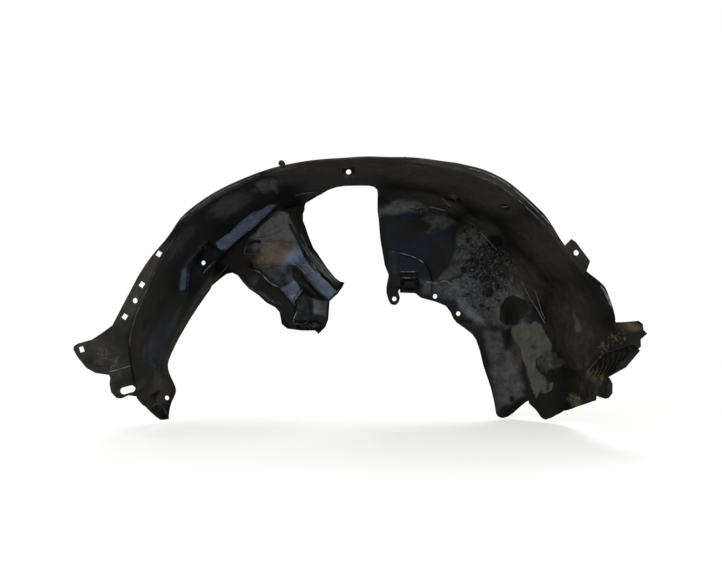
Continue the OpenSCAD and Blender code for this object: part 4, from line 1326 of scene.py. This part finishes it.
# Angles past which an edge stays sharp, in degrees
SHARP_SHELL, SHARP_LINES, SHARP_BLADES = 34, 50, 20


def build_liner():
    """The whole liner: the shell, its raised lines, the vent's blades and the crumbs of soil."""
    plastic = moulded_polypropylene()
    shell = trimmed_shell()
    add_fixings(shell)
    outward(shell)
    smooth_shaded(shell, SHARP_SHELL, plastic)
    mark_wear_and_painted_light(shell)
    painted_highlight = bead_highlight_finish()
    lines = raised_lines(shell, painted_highlight)
    blades = vent_blades(plastic)
    smooth_shaded(lines, SHARP_LINES, painted_highlight)
    smooth_shaded(blades, SHARP_BLADES, plastic)
    mark_wear_and_painted_light(blades)
    crumbs = mud_crumbs(shell, dried_mud())
    for thing in (shell, lines, blades, crumbs):
        stands_for_liner(thing)


# Camera level with the arch, looking along the wheel's axis from the photograph's distance
CAMERA_AT = (-2.9, -1300.0, 201.55)
PHOTO_WIDTH_PX = 722
MM_PER_PIXEL = 1.45
FRAME_WIDTH = PHOTO_WIDTH_PX * MM_PER_PIXEL
SENSOR = 36.0
CLIP_END_M = 30
FLOOR_Z = -30.0
FLOOR_HALF = 6000
# The floor's point under the middle of the object, and the distances from it, in metres, between which the
# floor turns to plain white
FLOOR_MIDDLE = (0, 140, FLOOR_Z)
FLOOR_FADE_M = (0.45, 1.1)
# How much the floor shines by itself to the camera, and its colour to the camera and to the object
FLOOR_LIFT = 0.5
FLOOR_SEEN = "#d8d8d6"
FLOOR_BOUNCE = "#8a8a88"
WHITE = (1, 1, 1, 1)
# Strength of the surroundings as light, and as what the dull plastic mirrors
AMBIENT = 0.4
MIRRORED = 0.12
# Name, place, the point it is aimed at, side, watts, and whether the plastic mirrors it
LIGHTS = [("front_softbox", (-700, -1500, 900), (0, 100, 200), 1300, 15, True),
          ("low_fill", (150, -1700, 80), (0, 200, 260), 1200, 16, False),
          ("left_strip", (-1500, -500, 400), (0, 150, 200), 700, 6, True),
          ("right_fill", (1300, -1000, 150), (-100, 150, 250), 900, 7, False),
          ("top_rim", (300, 700, 1400), (0, 100, 300), 800, 7, True)]


def set_camera():
    """A level camera at the photograph's angle, wide enough for its frame."""
    lens = bpy.data.cameras.new("camera")
    lens.sensor_width = SENSOR
    lens.lens = SENSOR * -CAMERA_AT[1] / FRAME_WIDTH
    lens.clip_end = CLIP_END_M
    camera = bpy.data.objects.new("camera", lens)
    camera.location = to_frame(CAMERA_AT)
    camera.rotation_euler = (math.radians(90), 0, 0)
    bpy.context.scene.collection.objects.link(camera)
    bpy.context.scene.camera = camera


def softbox(name, at, towards, size, watts, mirrored):
    """A square soft light, placed and aimed in millimetres; one that isn't mirrored makes no highlights."""
    light = bpy.data.lights.new(name, "AREA")
    light.energy = watts
    light.size = size * MM
    lamp = bpy.data.objects.new(name, light)
    lamp.location = to_frame(at)
    lamp.rotation_euler = Vector(np.subtract(towards, at)).to_track_quat("-Z", "Y").to_euler()
    lamp.visible_glossy = mirrored
    bpy.context.scene.collection.objects.link(lamp)


def white_world():
    """White to the eye, a soft sky to the surfaces, and a dimmer room in the dull plastic's reflections."""
    world = bpy.data.worlds.new("studio")
    bpy.context.scene.world = world
    world.use_nodes = True
    tree = world.node_tree
    tree.nodes.clear()
    rays = add(tree, "ShaderNodeLightPath")
    clear = add(tree, "ShaderNodeMath", {0: rays.outputs["Is Camera Ray"],
                                         1: rays.outputs["Is Transmission Ray"]}, operation="MAXIMUM")
    strength = coats(tree, AMBIENT, [(rays.outputs["Is Glossy Ray"], MIRRORED), (clear, 1.0)], "FLOAT")
    sky = add(tree, "ShaderNodeBackground", {"Color": WHITE, "Strength": strength})
    add(tree, "ShaderNodeOutputWorld", {"Surface": sky})


def pale_floor():
    """A matt pale floor under the lowest edge, which fades into the white background round the object."""
    floor = mesh_object("floor", [(-FLOOR_HALF, -FLOOR_HALF, FLOOR_Z), (FLOOR_HALF, -FLOOR_HALF, FLOOR_Z),
                                  (FLOOR_HALF, FLOOR_HALF, FLOOR_Z), (-FLOOR_HALF, FLOOR_HALF, FLOOR_Z)],
                        [(0, 1, 2, 3)])
    material, tree, place = new_material("matt_pale_floor")
    away = add(tree, "ShaderNodeVectorMath", {0: place, 1: tuple(to_frame(FLOOR_MIDDLE))},
               operation="DISTANCE").outputs["Value"]
    far = add(tree, "ShaderNodeMapRange", {"Value": away, "From Min": FLOOR_FADE_M[0],
                                           "From Max": FLOOR_FADE_M[1]}, interpolation_type="SMOOTHSTEP")
    seen = add(tree, "ShaderNodeLightPath").outputs["Is Camera Ray"]
    tone = coats(tree, colour(FLOOR_BOUNCE), [(seen, colour(FLOOR_SEEN))])
    matt = add(tree, "ShaderNodeBsdfDiffuse", {"Color": tone})
    glow = add(tree, "ShaderNodeMath", {0: seen, 1: FLOOR_LIFT}, operation="MULTIPLY")
    lift = add(tree, "ShaderNodeEmission", {"Color": WHITE, "Strength": glow})
    near = add(tree, "ShaderNodeAddShader", {0: matt, 1: lift})
    white = add(tree, "ShaderNodeEmission", {"Color": WHITE, "Strength": 1.0})
    shown = add(tree, "ShaderNodeMath", {0: far, 1: seen}, operation="MULTIPLY")
    both = add(tree, "ShaderNodeMixShader", {0: shown, 1: near, 2: white})
    add(tree, "ShaderNodeOutputMaterial", {"Surface": both})
    floor.data.materials.append(material)


def light_studio():
    """White surroundings, the pale floor and the soft lights."""
    bpy.context.scene.view_settings.view_transform = "Standard"
    white_world()
    pale_floor()
    for light in LIGHTS:
        softbox(*light)


set_camera()
build_liner()
light_studio()
